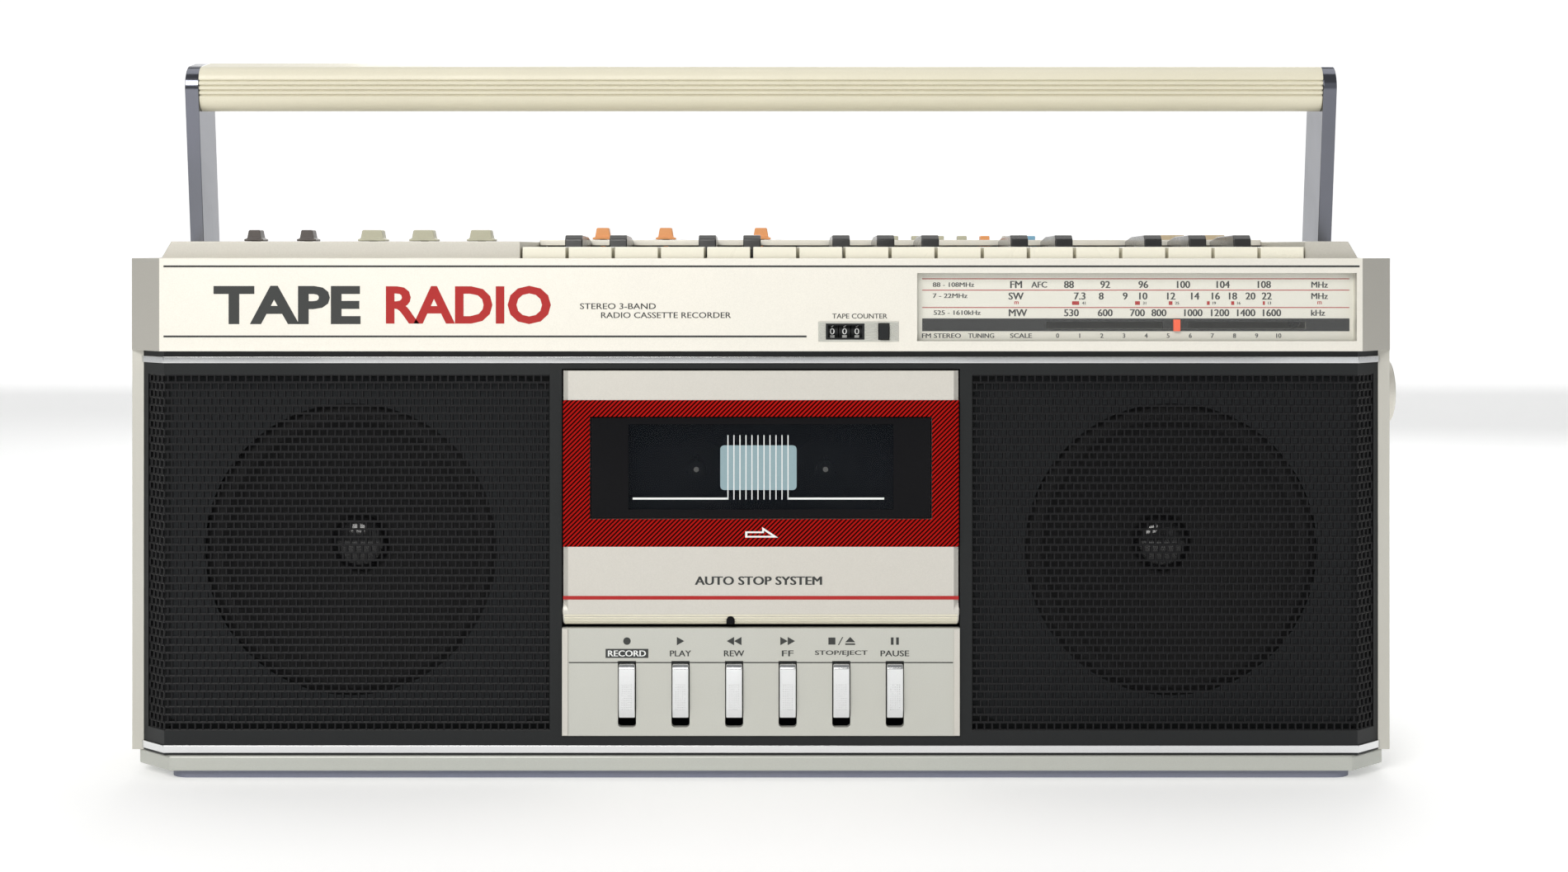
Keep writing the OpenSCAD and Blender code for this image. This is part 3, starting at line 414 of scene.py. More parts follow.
def makeClear(name, color, rough, alpha, gloss=0.35):
    material = bpy.data.materials.new(name)
    material.use_nodes = True
    tree = material.node_tree
    shader = tree.nodes["Principled BSDF"]
    where = tree.nodes.new("ShaderNodeTexCoord").outputs["Object"]
    marks = placeGroup(tree, handlingGroup, where, Dust=0.02)
    level = maths(tree, "ADD", maths(tree, "MULTIPLY", marks.outputs["Smudge"], 0.03), rough)
    tree.links.new(level, shader.inputs["Roughness"])
    shader.inputs["Base Color"].default_value = (*color, 1)
    shader.inputs["Metallic"].default_value = 0.0
    shader.inputs["Alpha"].default_value = alpha
    shader.inputs["Specular IOR Level"].default_value = gloss
    shader.inputs["IOR"].default_value = 1.49
    return material


looks["clearPlastic"] = makeClear("clearPlastic", (0.80, 0.81, 0.80), 0.03, 0.035)
looks["smokedPlastic"] = makeClear("smokedPlastic", (0.004, 0.006, 0.009), 0.04, 0.38, 0.10)
print("finishes ready")

# Building helpers


def toObject(name, bm, material, body, sharp=40.0, smooth=True):
    mesh = bpy.data.meshes.new(name)
    bm.to_mesh(mesh)
    bm.free()
    return meshToPiece(name, mesh, material, body, sharp, smooth)


def meshToPiece(name, mesh, material, body, sharp=40.0, smooth=True):
    mesh.materials.clear()
    mesh.materials.append(looks[material])
    mesh.polygons.foreach_set("use_smooth", [smooth] * len(mesh.polygons))
    if smooth:
        mesh.set_sharp_from_angle(angle=math.radians(sharp))
    piece = bpy.data.objects.new(name, mesh)
    scene.collection.objects.link(piece)
    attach(piece, body)
    return piece


def weightNormals(piece):
    modifier = piece.modifiers.new("weightedNormals", "WEIGHTED_NORMAL")
    modifier.keep_sharp = True
    modifier.weight = 60


# A CAD node's shape with its sharp edges rounded off
def softened(node, material, width, segments=3, angle=32.0):
    bm = bmesh.new()
    bm.from_mesh(nodes[node].data)
    bmesh.ops.remove_doubles(bm, verts=bm.verts, dist=2e-6)
    bmesh.ops.dissolve_limit(bm, angle_limit=math.radians(0.6), verts=bm.verts, edges=bm.edges,
                             delimit={"NORMAL"})
    edges = [e for e in bm.edges if len(e.link_faces) == 2 and e.calc_face_angle(0) > math.radians(angle)]
    if width:
        bmesh.ops.bevel(bm, geom=edges, offset=width * mm, segments=segments, profile=0.5, affect="EDGES",
                        clamp_overlap=True)
    bmesh.ops.triangulate(bm, faces=[f for f in bm.faces if len(f.verts) > 4])
    piece = toObject(node + "_soft", bm, material, bodyOf[node], sharp=35.0)
    weightNormals(piece)
    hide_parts(node)
    return piece


# Shells and mouldings from the frame: look, and edge rounding in millimetres
rounded = {
    "base_tray": ("stripPaint", 0.7),
    "base_foot": ("footPlasticShadowTone", 0.8),
    "front_frame": ("blackPlastic", 0.3),
    "chrome_trims": ("chrome", 0.35),
    "rear_cabinet": ("silverShell", 0.8),
    "head_fascia": ("fasciaPaintShadedSides", 0.6),
    "top_cover": ("topPaintShaded", 0.5),
    "key_panel": ("silverPaint", 0.35),
    "transport_panel": ("lightGrey", 0.25),
    "battery_cover": ("silverShell", 0.3),
    "rear_sockets": ("blackPlastic", 0.4),
    "handle_arms": ("darkChrome", 0.5),
    "handle_grip": ("creamPlastic", 0.25),
    "tuning_knob": ("silverPaint", 0.8),
    "function_knob": ("brownPlastic", 0.5),
    "band_knob": ("brownPlastic", 0.5),
    "volume_knob": ("sageCream", 0.5),
    "balance_knob": ("sageCream", 0.5),
    "tone_knob": ("sageCream", 0.5),
    "piano_volume_slider": ("orangePlastic", 0.4),
    "rhythm_volume_slider": ("orangePlastic", 0.4),
    "tempo_slider": ("orangePlastic", 0.4),
    "start_button": ("tanPlastic", 0.5),
    "fill_in_button": ("tanPlastic", 0.5),
    "white_keys_a": ("ivoryKey", 0.35),
    "white_keys_b": ("ivoryKey", 0.35),
    "black_keys": ("blackKey", 0.55),
    "counter_housing": ("lightGrey", 0.15),
    "counter_reset_button": ("blackPlastic", 0.3),
    "cassette_holder": ("darkSteel", 0.15),
    "supply_spindle": ("darkSteel", 0.2),
    "take_up_spindle": ("darkSteel", 0.2),
    "case_screws": ("steelPlate", 0.15),
    "cassette_door": ("doorPaint", 0.5),
}
buttonLooks = ["sageCream", "sageCream", "sageCream", "sageCream", "orangePlastic", "sageCream",
               "bluePlastic"]
for number, look in enumerate(buttonLooks):
    rounded["rhythm_button_%d" % (number + 1)] = (look, 0.4)
for name in ("record", "play", "rewind", "fast_forward", "stop_eject", "pause"):
    rounded[name + "_key"] = ("chrome", 0.4)

# Parts whose own faces are enough
plain = {
    "speaker_frames": "speakerSteel",
    "speaker_cones": "speakerPaper",
    "speaker_grilles": "grilleMetal",
    "deck_chassis": "darkSteel",
    "head_bridge": "steelPlate",
    "drive_motor": "steelPlate",
    "circuit_boards": "circuitBoard",
    "dial_plate": "dialPrint",
    "dial_window": "clearPlastic",
    "door_window": "smokedPlastic",
    "counter_wheels": "blackPlastic",
    "capstan_flywheel": "brassWheel",
}


def dressNode(node, look):
    mesh = nodes[node].data
    mesh.materials.clear()
    mesh.materials.append(looks[look])


shells = {node: softened(node, look, width) for node, (look, width) in rounded.items()}
for node, look in plain.items():
    dressNode(node, look)
print("shells ready:", len(shells))

# Drawing helpers: sizes in millimetres, x to the right, z up, the front towards -y


def slab(bm, x0, x1, y0, y1, z0, z1):
    corners = [bm.verts.new((x * mm, y * mm, z * mm)) for z in (z0, z1) for y in (y0, y1) for x in (x0, x1)]
    for face in ((0, 2, 3, 1), (4, 5, 7, 6), (0, 1, 5, 4), (2, 6, 7, 3), (0, 4, 6, 2), (1, 3, 7, 5)):
        bm.faces.new([corners[i] for i in face])


# Flat shape with a few points (x, z), standing between y0 and y1
def tile(bm, outline, y0, y1):
    front = [bm.verts.new((x * mm, y0 * mm, z * mm)) for x, z in outline]
    back = [bm.verts.new((x * mm, y1 * mm, z * mm)) for x, z in outline]
    faces = [bm.faces.new(front), bm.faces.new(back)]
    for i in range(len(outline)):
        j = (i + 1) % len(outline)
        faces.append(bm.faces.new((front[i], front[j], back[j], back[i])))
    bmesh.ops.recalc_face_normals(bm, faces=faces)


def frameTile(bm, outer, inner, y0, y1):
    (x0, x1, z0, z1), (a0, a1, b0, b1) = outer, inner
    slab(bm, x0, x1, y0, y1, b1, z1)
    slab(bm, x0, x1, y0, y1, z0, b0)
    slab(bm, x0, a0, y0, y1, b0, b1)
    slab(bm, a1, x1, y0, y1, b0, b1)


def roundedOutline(x0, x1, z0, z1, r, steps=5):
    points = []
    for cx, cz, start in ((x1 - r, z0 + r, -90), (x1 - r, z1 - r, 0), (x0 + r, z1 - r, 90),
                          (x0 + r, z0 + r, 180)):
        for i in range(steps + 1):
            a = math.radians(start + 90 * i / steps)
            points.append((cx + r * math.cos(a), cz + r * math.sin(a)))
    return points


def disc(x, z, r, steps=28):
    return [(x + r * math.cos(2 * math.pi * i / steps),
             z + r * math.sin(2 * math.pi * i / steps)) for i in range(steps)]


# Turned shape about an axis along y, profile as (radius, y)
def turned(bm, x, z, profile, steps=48):
    rings = []
    for r, y in profile:
        if r == 0:
            rings.append([bm.verts.new((x * mm, y * mm, z * mm))])
        else:
            rings.append([bm.verts.new((u * mm, y * mm, w * mm)) for u, w in disc(x, z, r, steps)])
    faces = []
    for a, b in zip(rings, rings[1:]):
        for i in range(steps):
            j = (i + 1) % steps
            if len(a) == 1:
                faces.append(bm.faces.new((a[0], b[j], b[i])))
            elif len(b) == 1:
                faces.append(bm.faces.new((a[i], a[j], b[0])))
            else:
                faces.append(bm.faces.new((a[i], a[j], b[j], b[i])))
    bmesh.ops.recalc_face_normals(bm, faces=faces)


# Lettering: each entry is text, centre x, centre z, height, and the width if it is fitted
def addWords(bm, entries, face, proud=0.05, bold=0.0, thick=0.0):
    holders = []
    for entry in entries:
        curve = bpy.data.curves.new("word", "FONT")
        curve.body = entry[0]
        curve.resolution_u = 3
        curve.extrude = 0.01
        curve.offset = bold
        holder = bpy.data.objects.new("word", curve)
        scene.collection.objects.link(holder)
        holders.append(holder)
    graph = bpy.context.evaluated_depsgraph_get()
    for holder, entry in zip(holders, entries):
        mesh = bpy.data.meshes.new_from_object(holder.evaluated_get(graph))
        x, z, height = entry[1:4]
        xs = [v.co.x for v in mesh.vertices]
        ys = [v.co.y for v in mesh.vertices]
        tall = height / max(max(ys) - min(ys), 0.3)
        wide = entry[4] / (max(xs) - min(xs)) if len(entry) > 4 else tall
        flat = [v.co.copy() for v in mesh.vertices]
        # A heavier stroke is the same letter laid three times, a little apart
        for lay in ((-1, 0, 1) if thick else (0,)):
            for v, co in zip(mesh.vertices, flat):
                u = (co.x - (max(xs) + min(xs)) / 2) * wide + x + lay * thick * height
                w = (co.y - (max(ys) + min(ys)) / 2) * tall + z
                v.co = (u * mm, (face - proud - 0.004 * lay if co.z > 0 else face + 0.02) * mm, w * mm)
            bm.from_mesh(mesh)
        bpy.data.meshes.remove(mesh)
        curve = holder.data
        bpy.data.objects.remove(holder)
        bpy.data.curves.remove(curve)


def printed(name, material, body, draw, smooth=False):
    bm = bmesh.new()
    draw(bm)
    return toObject(name, bm, material, body, smooth=smooth)


# Geometry Nodes: trees with named inputs, turned into plain meshes


def newTree(name, inputs):
    tree = bpy.data.node_groups.new(name, "GeometryNodeTree")
    tree.interface.new_socket("Geometry", in_out="INPUT", socket_type="NodeSocketGeometry")
    for label, kind, value in inputs:
        socket = tree.interface.new_socket(label, in_out="INPUT", socket_type=kind)
        if value is not None:
            socket.default_value = value
    tree.interface.new_socket("Material", in_out="INPUT", socket_type="NodeSocketMaterial")
    tree.interface.new_socket("Geometry", in_out="OUTPUT", socket_type="NodeSocketGeometry")
    return tree, tree.nodes.new("NodeGroupInput"), tree.nodes.new("NodeGroupOutput")


def link(tree, source, target):
    tree.links.new(source, target)


def finishTree(tree, start, end, geometries):
    join = tree.nodes.new("GeometryNodeJoinGeometry")
    for geometry in geometries:
        link(tree, geometry, join.inputs[0])
    real = tree.nodes.new("GeometryNodeRealizeInstances")
    paint = tree.nodes.new("GeometryNodeSetMaterial")
    link(tree, join.outputs[0], real.inputs[0])
    link(tree, real.outputs[0], paint.inputs["Geometry"])
    link(tree, start.outputs["Material"], paint.inputs["Material"])
    link(tree, paint.outputs[0], end.inputs[0])


def treeVector(tree, x=0.0, y=0.0, z=0.0):
    node = tree.nodes.new("ShaderNodeCombineXYZ")
    for index, value in enumerate((x, y, z)):
        if isinstance(value, (int, float)):
            node.inputs[index].default_value = value
        else:
            link(tree, value, node.inputs[index])
    return node.outputs[0]


def onPoints(tree, points, shape, turn=None):
    place = tree.nodes.new("GeometryNodeInstanceOnPoints")
    link(tree, points, place.inputs["Points"])
    link(tree, shape, place.inputs["Instance"])
    if turn:
        link(tree, turn, place.inputs["Rotation"])
    return place.outputs[0]


def slimCylinder(tree, sides, radius, length):
    rod = tree.nodes.new("GeometryNodeMeshCylinder")
    rod.inputs["Vertices"].default_value = sides
    link(tree, radius, rod.inputs["Radius"])
    link(tree, length, rod.inputs["Depth"])
    return rod


# Row of round-backed ribs, each a slim cylinder
def makeRibTree():
    tree, start, end = newTree("ribRow", [
        ("Start", "NodeSocketVector", None), ("Step", "NodeSocketVector", None),
        ("Count", "NodeSocketInt", 4),
        ("Length", "NodeSocketFloat", 0.01), ("Radius", "NodeSocketFloat", 0.0005),
        ("Turn", "NodeSocketRotation", None)])
    line = tree.nodes.new("GeometryNodeMeshLine")
    line.mode = "OFFSET"
    link(tree, start.outputs["Count"], line.inputs["Count"])
    link(tree, start.outputs["Start"], line.inputs["Start Location"])
    link(tree, start.outputs["Step"], line.inputs["Offset"])
    rib = slimCylinder(tree, 8, start.outputs["Radius"], start.outputs["Length"])
    ribs = onPoints(tree, line.outputs["Mesh"], rib.outputs["Mesh"], start.outputs["Turn"])
    finishTree(tree, start, end, [ribs])
    return tree


# Patch of low domes on an upright face
def makeDotTree():
    tree, start, end = newTree("dotPatch", [
        ("Centre", "NodeSocketVector", None), ("Columns", "NodeSocketInt", 5),
        ("Rows", "NodeSocketInt", 12),
        ("Pitch", "NodeSocketFloat", 0.0007), ("Radius", "NodeSocketFloat", 0.0002),
        ("Lean", "NodeSocketRotation", None)])
    grid = tree.nodes.new("GeometryNodeMeshGrid")
    for side, count in (("X", "Columns"), ("Y", "Rows")):
        across = maths(tree, "MULTIPLY", maths(tree, "SUBTRACT", start.outputs[count], 1),
                       start.outputs["Pitch"])
        link(tree, across, grid.inputs["Size " + side])
        link(tree, start.outputs[count], grid.inputs["Vertices " + side])
    stand = tree.nodes.new("GeometryNodeTransform")
    link(tree, grid.outputs["Mesh"], stand.inputs["Geometry"])
    link(tree, start.outputs["Centre"], stand.inputs["Translation"])
    link(tree, start.outputs["Lean"], stand.inputs["Rotation"])
    dome = tree.nodes.new("GeometryNodeMeshIcoSphere")
    dome.inputs["Subdivisions"].default_value = 1
    link(tree, start.outputs["Radius"], dome.inputs["Radius"])
    finishTree(tree, start, end, [onPoints(tree, stand.outputs[0], dome.outputs["Mesh"])])
    return tree


# Ribs that stand round a shaft along x
def makeRingTree():
    tree, start, end = newTree("ribRing", [
        ("Centre", "NodeSocketVector", None), ("Count", "NodeSocketInt", 48),
        ("Ring Radius", "NodeSocketFloat", 0.011),
        ("Length", "NodeSocketFloat", 0.006), ("Radius", "NodeSocketFloat", 0.0004)])
    ring = tree.nodes.new("GeometryNodeMeshCircle")
    link(tree, start.outputs["Count"], ring.inputs["Vertices"])
    link(tree, start.outputs["Ring Radius"], ring.inputs["Radius"])
    rib = slimCylinder(tree, 6, start.outputs["Radius"], start.outputs["Length"])
    stand = tree.nodes.new("GeometryNodeTransform")
    link(tree, onPoints(tree, ring.outputs["Mesh"], rib.outputs["Mesh"]), stand.inputs["Geometry"])
    link(tree, start.outputs["Centre"], stand.inputs["Translation"])
    stand.inputs["Rotation"].default_value = (0, math.radians(90), 0)
    finishTree(tree, start, end, [stand.outputs[0]])
    return tree


# Expanded mesh laid like bricks: long rails with short posts between them, folded round the cut corner
def makeMeshTree():
    tree, start, end = newTree("brickMesh", [
        ("Side", "NodeSocketFloat", 1.0), ("Inner", "NodeSocketFloat", 0.069),
        ("Fold", "NodeSocketFloat", 0.194),
        ("Outer", "NodeSocketFloat", 0.2), ("Front", "NodeSocketFloat", -0.0515),
        ("Bottom", "NodeSocketFloat", 0.016),
        ("Rows", "NodeSocketInt", 46), ("Columns", "NodeSocketInt", 50),
        ("Row Pitch", "NodeSocketFloat", 0.0025),
        ("Post Pitch", "NodeSocketFloat", 0.0025), ("Rail", "NodeSocketFloat", 0.0004),
        ("Post", "NodeSocketFloat", 0.0004)])
    out = start.outputs
    diagonal = math.sqrt(0.5)

    def folded(u):
        over = maths(tree, "MAXIMUM", maths(tree, "SUBTRACT", u, out["Fold"]), 0.0)
        flat = maths(tree, "MINIMUM", u, out["Fold"])
        x = maths(tree, "MULTIPLY", maths(tree, "ADD", flat, maths(tree, "MULTIPLY", over, diagonal)),
                  out["Side"])
        y = maths(tree, "ADD", out["Front"], maths(tree, "MULTIPLY", over, diagonal))
        return x, y

    profile = tree.nodes.new("GeometryNodeCurvePrimitiveCircle")
    profile.inputs["Resolution"].default_value = 6
    link(tree, out["Rail"], profile.inputs["Radius"])
    rails = tree.nodes.new("GeometryNodeMeshLine")
    rails.mode = "OFFSET"
    link(tree, maths(tree, "ADD", out["Rows"], 1), rails.inputs["Count"])
    link(tree, treeVector(tree, z=out["Bottom"]), rails.inputs["Start Location"])
    link(tree, treeVector(tree, z=out["Row Pitch"]), rails.inputs["Offset"])
    made = []
    for first, last in (("Inner", "Fold"), ("Fold", "Outer")):
        wire = tree.nodes.new("GeometryNodeCurvePrimitiveLine")
        for label, name in (("Start", first), ("End", last)):
            x, y = folded(out[name])
            link(tree, treeVector(tree, x, y), wire.inputs[label])
        sweep = tree.nodes.new("GeometryNodeCurveToMesh")
        sweep.inputs["Fill Caps"].default_value = True
        link(tree, wire.outputs[0], sweep.inputs["Curve"])
        link(tree, profile.outputs[0], sweep.inputs["Profile Curve"])
        made.append(onPoints(tree, rails.outputs["Mesh"], sweep.outputs[0]))

    grid = tree.nodes.new("GeometryNodeMeshGrid")
    grid.inputs["Size X"].default_value = 1.0
    grid.inputs["Size Y"].default_value = 1.0
    link(tree, out["Columns"], grid.inputs["Vertices X"])
    link(tree, out["Rows"], grid.inputs["Vertices Y"])
    index = tree.nodes.new("GeometryNodeInputIndex").outputs[0]
    column = maths(tree, "FLOOR", maths(tree, "DIVIDE", maths(tree, "ADD", index, 0.5), out["Rows"]), 0.0)
    row = maths(tree, "SUBTRACT", index, maths(tree, "MULTIPLY", column, out["Rows"]))
    shift = maths(tree, "MULTIPLY", maths(tree, "FLOORED_MODULO", row, 2.0), 0.5)
    along = maths(tree, "MULTIPLY", maths(tree, "ADD", maths(tree, "ADD", column, shift), 0.5),
                  out["Post Pitch"])
    x, y = folded(maths(tree, "ADD", out["Inner"], along))
    up = maths(tree, "ADD", out["Bottom"],
               maths(tree, "MULTIPLY", maths(tree, "ADD", row, 0.5), out["Row Pitch"]))
    spots = tree.nodes.new("GeometryNodeSetPosition")
    link(tree, grid.outputs["Mesh"], spots.inputs["Geometry"])
    link(tree, treeVector(tree, x, y, up), spots.inputs["Position"])
    post = slimCylinder(tree, 6, out["Post"], out["Row Pitch"])
    post.fill_type = "NONE"
    made.append(onPoints(tree, spots.outputs[0], post.outputs["Mesh"]))
    finishTree(tree, start, end, made)
    return tree


trees = {"ribs": makeRibTree(), "dots": makeDotTree(), "ring": makeRingTree(), "brick": makeMeshTree()}


# Runs a tree once for each set of values and joins the results into one plain piece
def grown(name, kind, settings, material, body, smooth=True):
    tree = trees[kind]
    sockets = {item.name: item.identifier for item in tree.interface.items_tree
               if item.item_type == "SOCKET" and item.in_out == "INPUT"}
    bm = bmesh.new()
    for values in settings:
        holder = bpy.data.objects.new(name + "_tree", bpy.data.meshes.new(name + "_tree"))
        scene.collection.objects.link(holder)
        modifier = holder.modifiers.new("nodes", "NODES")
        modifier.node_group = tree
        for label, value in dict(values, Material=looks[material]).items():
            modifier[sockets[label]] = value
        mesh = bpy.data.meshes.new_from_object(holder.evaluated_get(bpy.context.evaluated_depsgraph_get()))
        holder.modifiers.clear()
        bpy.data.objects.remove(holder)
        bm.from_mesh(mesh)
        bpy.data.meshes.remove(mesh)
    return toObject(name, bm, material, body, sharp=50.0, smooth=smooth)


def metres(*values):
    return tuple(value * mm for value in values)


alongX = (0.0, math.radians(90), 0.0)
alongY = (math.radians(90), 0.0, 0.0)
print("helpers ready")

# Speaker grilles: brick mesh over a grey baffle cloth, with a glossy dust cap behind
grille = {"rowPitch": 2.53, "postPitch": 2.53, "rail": 0.42, "post": 0.46, "setBack": 0.6,
          "inner": 68.9, "cornerCut": 9.0, "endLap": 0.6}


def inMillimetres(node):
    low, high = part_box(node)
    return [c / mm for c in low], [c / mm for c in high]


def makeGrilles():
    low, high = inMillimetres("speaker_grilles")
    frameLow, frameHigh = inMillimetres("front_frame")
    inner = grille["inner"]
    front = frameLow[1] + grille["setBack"]
    fold = frameHigh[0] - grille["cornerCut"] - grille["setBack"] * 0.4
    outer = fold + (high[0] - grille["endLap"] - fold) * math.sqrt(2)
    rows = round((high[2] - low[2]) / grille["rowPitch"])
    rowPitch = (high[2] - low[2]) / rows
    settings = []
    for side in (-1.0, 1.0):
        settings.append({
            "Side": side, "Inner": inner * mm, "Fold": fold * mm, "Outer": outer * mm, "Front": front * mm,
            "Bottom": low[2] * mm, "Rows": rows, "Columns": int((outer - inner) / grille["postPitch"]),
            "Row Pitch": rowPitch * mm, "Post Pitch": grille["postPitch"] * mm,
            "Rail": grille["rail"] * mm, "Post": grille["post"] * mm,
        })
    piece = grown("grilleMesh", "brick", settings, "grilleMetal", bodyOf["speaker_grilles"])
    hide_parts("speaker_grilles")


def speakerCentre():
    low, high = inMillimetres("speaker_cones")
    return high[0] - (high[2] - low[2]) / 2, (high[2] + low[2]) / 2


cone = {"hole": 48.0, "baffle": -43.0, "rear": -40.5, "capRadius": 9.5, "capHeight": 4.2, "capBase": -24.9,
        "clothHalf": (64.6, 56.6), "clothSteps": 64}


# Grey cloth on the baffle with a round opening at each speaker
def makeBaffleCloth():
    x0, z0 = speakerCentre()
    half, steps = cone["clothHalf"], cone["clothSteps"]
    bm = bmesh.new()
    for side in (-1, 1):
        rings = []
        for y in (cone["baffle"] - 0.35, cone["baffle"] - 0.02):
            hole, rim = [], []
            for i in range(steps):
                a = 2 * math.pi * i / steps
                c, s = math.cos(a), math.sin(a)
                reach = min(half[0] / max(abs(c), 1e-6), half[1] / max(abs(s), 1e-6))
                hole.append(bm.verts.new(((side * x0 + cone["hole"] * c) * mm, y * mm,
                                          (z0 + cone["hole"] * s) * mm)))
                rim.append(bm.verts.new(((side * x0 + reach * c) * mm, y * mm, (z0 + reach * s) * mm)))
            rings.append((hole, rim))
        (hole, rim), (holeBack, rimBack) = rings
        faces = []
        for i in range(steps):
            j = (i + 1) % steps
            for a, b in ((hole, rim), (rim, rimBack), (rimBack, holeBack), (holeBack, hole)):
                faces.append(bm.faces.new((a[i], a[j], b[j], b[i])))
        bmesh.ops.recalc_face_normals(bm, faces=faces)
    toObject("baffleCloth", bm, "baffleGrey", "cabinet", smooth=False)


# Paper cone with fine rings, a rolled surround and a lacquered dust cap
def makeCones():
    x0, z0 = speakerCentre()
    rear = cone["rear"]
    profile = [(0, rear + 24), (8, rear + 24), (8, rear + 17.2), (10, rear + 16.2)]
    ringCount = 14
    for i in range(ringCount + 1):
        t = i / ringCount
        ripple = 0.35 if i % 2 else 0.0
        profile.append((10.8 + 29 * t, rear + 15.6 - 13.9 * t ** 1.15 + ripple))
    profile += [(40.6, rear + 1.2), (41.6, rear - 0.4), (43.2, rear - 1.5), (45.0, rear - 1.5),
                (46.4, rear - 0.5),
                (47.2, rear + 0.3), (48.3, rear + 0.4), (48.3, rear + 1.4), (46.5, rear + 1.4),
                (41, rear + 2.6),
                (39, rear + 3.4), (10, rear + 18), (9, rear + 24.6), (0, rear + 24.6)]
    bm = bmesh.new()
    caps = bmesh.new()
    for side in (-1, 1):
        turned(bm, side * x0, z0, profile, 64)
        dome = [(0, cone["capBase"] - cone["capHeight"])]
        for a in range(15, 91, 15):
            dome.append((cone["capRadius"] * math.sin(math.radians(a)),
                         cone["capBase"] - cone["capHeight"] * math.cos(math.radians(a))))
        dome += [(cone["capRadius"] - 0.5, cone["capBase"] + 0.5), (0, cone["capBase"] + 0.5)]
        turned(caps, side * x0, z0, dome, 40)
    paper = toObject("speakerPaperCones", bm, "speakerPaper", "cabinet")
    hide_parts("speaker_cones")
    toObject("dustCaps", caps, "capLacquer", "cabinet")


makeGrilles()
makeBaffleCloth()
makeCones()
print("speakers ready")

# Fascia: two dark rules, the wordmarks and the small title
fascia = {"face": -55.5, "left": -193.4, "right": 193.8, "topRule": 166.9, "lowRule": 144.2,
          "lowRuleEnd": 14.8, "rule": 0.62}


def drawFasciaInk(bm):
    f = fascia
    for z, end in ((f["topRule"], f["right"]), (f["lowRule"], f["lowRuleEnd"])):
        slab(bm, f["left"], end, f["face"] - 0.05, f["face"] + 0.02, z - f["rule"] / 2, z + f["rule"] / 2)
    addWords(bm, [("STEREO 3-BAND", -46.3, 154.0, 1.9, 24.5),
                  ("RADIO CASSETTE RECORDER", -30.7, 151.1, 1.9, 42.0),
                  ("TAPE COUNTER", 32.0, 150.8, 1.6, 17.8)], f["face"], thick=0.02)
    addWords(bm, [("TAPE", -153.4, 154.4, 12.4, 47.6)], f["face"], bold=0.035)


printed("fasciaInk", "darkInk", "cabinet", drawFasciaInk)
printed("fasciaRedWord", "redInk", "cabinet",
        lambda bm: addWords(bm, [("RADIO", -94.7, 154.4, 12.4, 53.4)], fascia["face"], bold=0.03))
print("fascia ready")

# Tuning dial: three scales, the tuning band and the logging scale
dial = {"face": -51.0, "left": 52.5, "right": 191.6, "rule": 0.28, "bandLow": 145.75, "bandHigh": 149.9,
        "slotLow": 146.6, "slotHigh": 148.8, "slotLeft": 93.0, "slotRight": 177.4, "digits": 2.3}
dialRows = [
    (160.95, [("88", 100.3), ("92", 112.1), ("96", 124.5), ("100", 137.6), ("104", 150.5), ("108", 163.9)]),
    (157.2, [("7.3", 103.8), ("8", 110.8), ("9", 118.6), ("10", 124.5), ("12", 133.6), ("14", 141.4),
                   ("16", 148.1), ("18", 153.7), ("20", 159.4), ("22", 164.7)]),
    (151.75, [("530", 101.1), ("600", 112.1), ("700", 122.6), ("800", 129.6), ("1000", 140.8),
              ("1200", 149.5),
                    ("1400", 158.0), ("1600", 166.4)]),
]
dialNames = [("FM", 83.1, 160.95, 2.3), ("SW", 83.1, 157.2, 2.3), ("MW", 83.7, 151.75, 2.3),
             ("AFC", 90.6, 160.9, 1.95),
             ("MHz", 181.9, 160.9, 1.95), ("MHz", 181.9, 157.2, 1.95), ("kHz", 181.4, 151.75, 1.95),
             ("88 - 108MHz", 62.7, 160.9, 1.5, 13.4), ("7 - 22MHz", 61.6, 157.3, 1.5, 11.2),
             ("525 - 1610kHz", 63.9, 151.8, 1.5, 15.2), ("FM STEREO", 58.8, 144.3, 1.5, 12.6),
             ("TUNING", 71.7, 144.3, 1.5, 8.4), ("SCALE", 84.7, 144.3, 1.5, 7.0)]
metreMarks = [(101.3, 103.6, "41"), (121.8, 123.4, "31"), (132.8, 134.0, "25"), (145.2, 146.1, "19"),
              (153.1, 154.1, "16"), (163.4, 164.1, "13")]


def drawDialInk(bm):
    words = [(text, x, z, dial["digits"]) for z, marks in dialRows for text, x in marks]
    words += dialNames
    words += [(str(i), 96.6 + 7.2 * i, 144.3, 1.45) for i in range(11)]
    words += [(text, high + 1.5, 154.9, 0.95) for low, high, text in metreMarks]
    addWords(bm, words, dial["face"], thick=0.045)


def drawDialRed(bm):
    face = dial["face"]
    for z in (162.8, 159.1, 153.45):
        slab(bm, dial["left"], dial["right"], face - 0.05, face + 0.02, z - dial["rule"] / 2,
             z + dial["rule"] / 2)
    for low, high, _ in metreMarks:
        slab(bm, low, high, face - 0.05, face + 0.02, 154.3, 155.5)
    addWords(bm, [("m", 83.2, 155.0, 0.95), ("m", 181.9, 155.0, 0.95)], face, thick=0.05)


def drawDialBand(bm):
    d = dial
    frameTile(bm, (d["left"], d["right"], d["bandLow"], d["bandHigh"]),
              (d["slotLeft"], d["slotRight"], d["slotLow"], d["slotHigh"]), d["face"] - 0.12,
              d["face"] + 0.02)


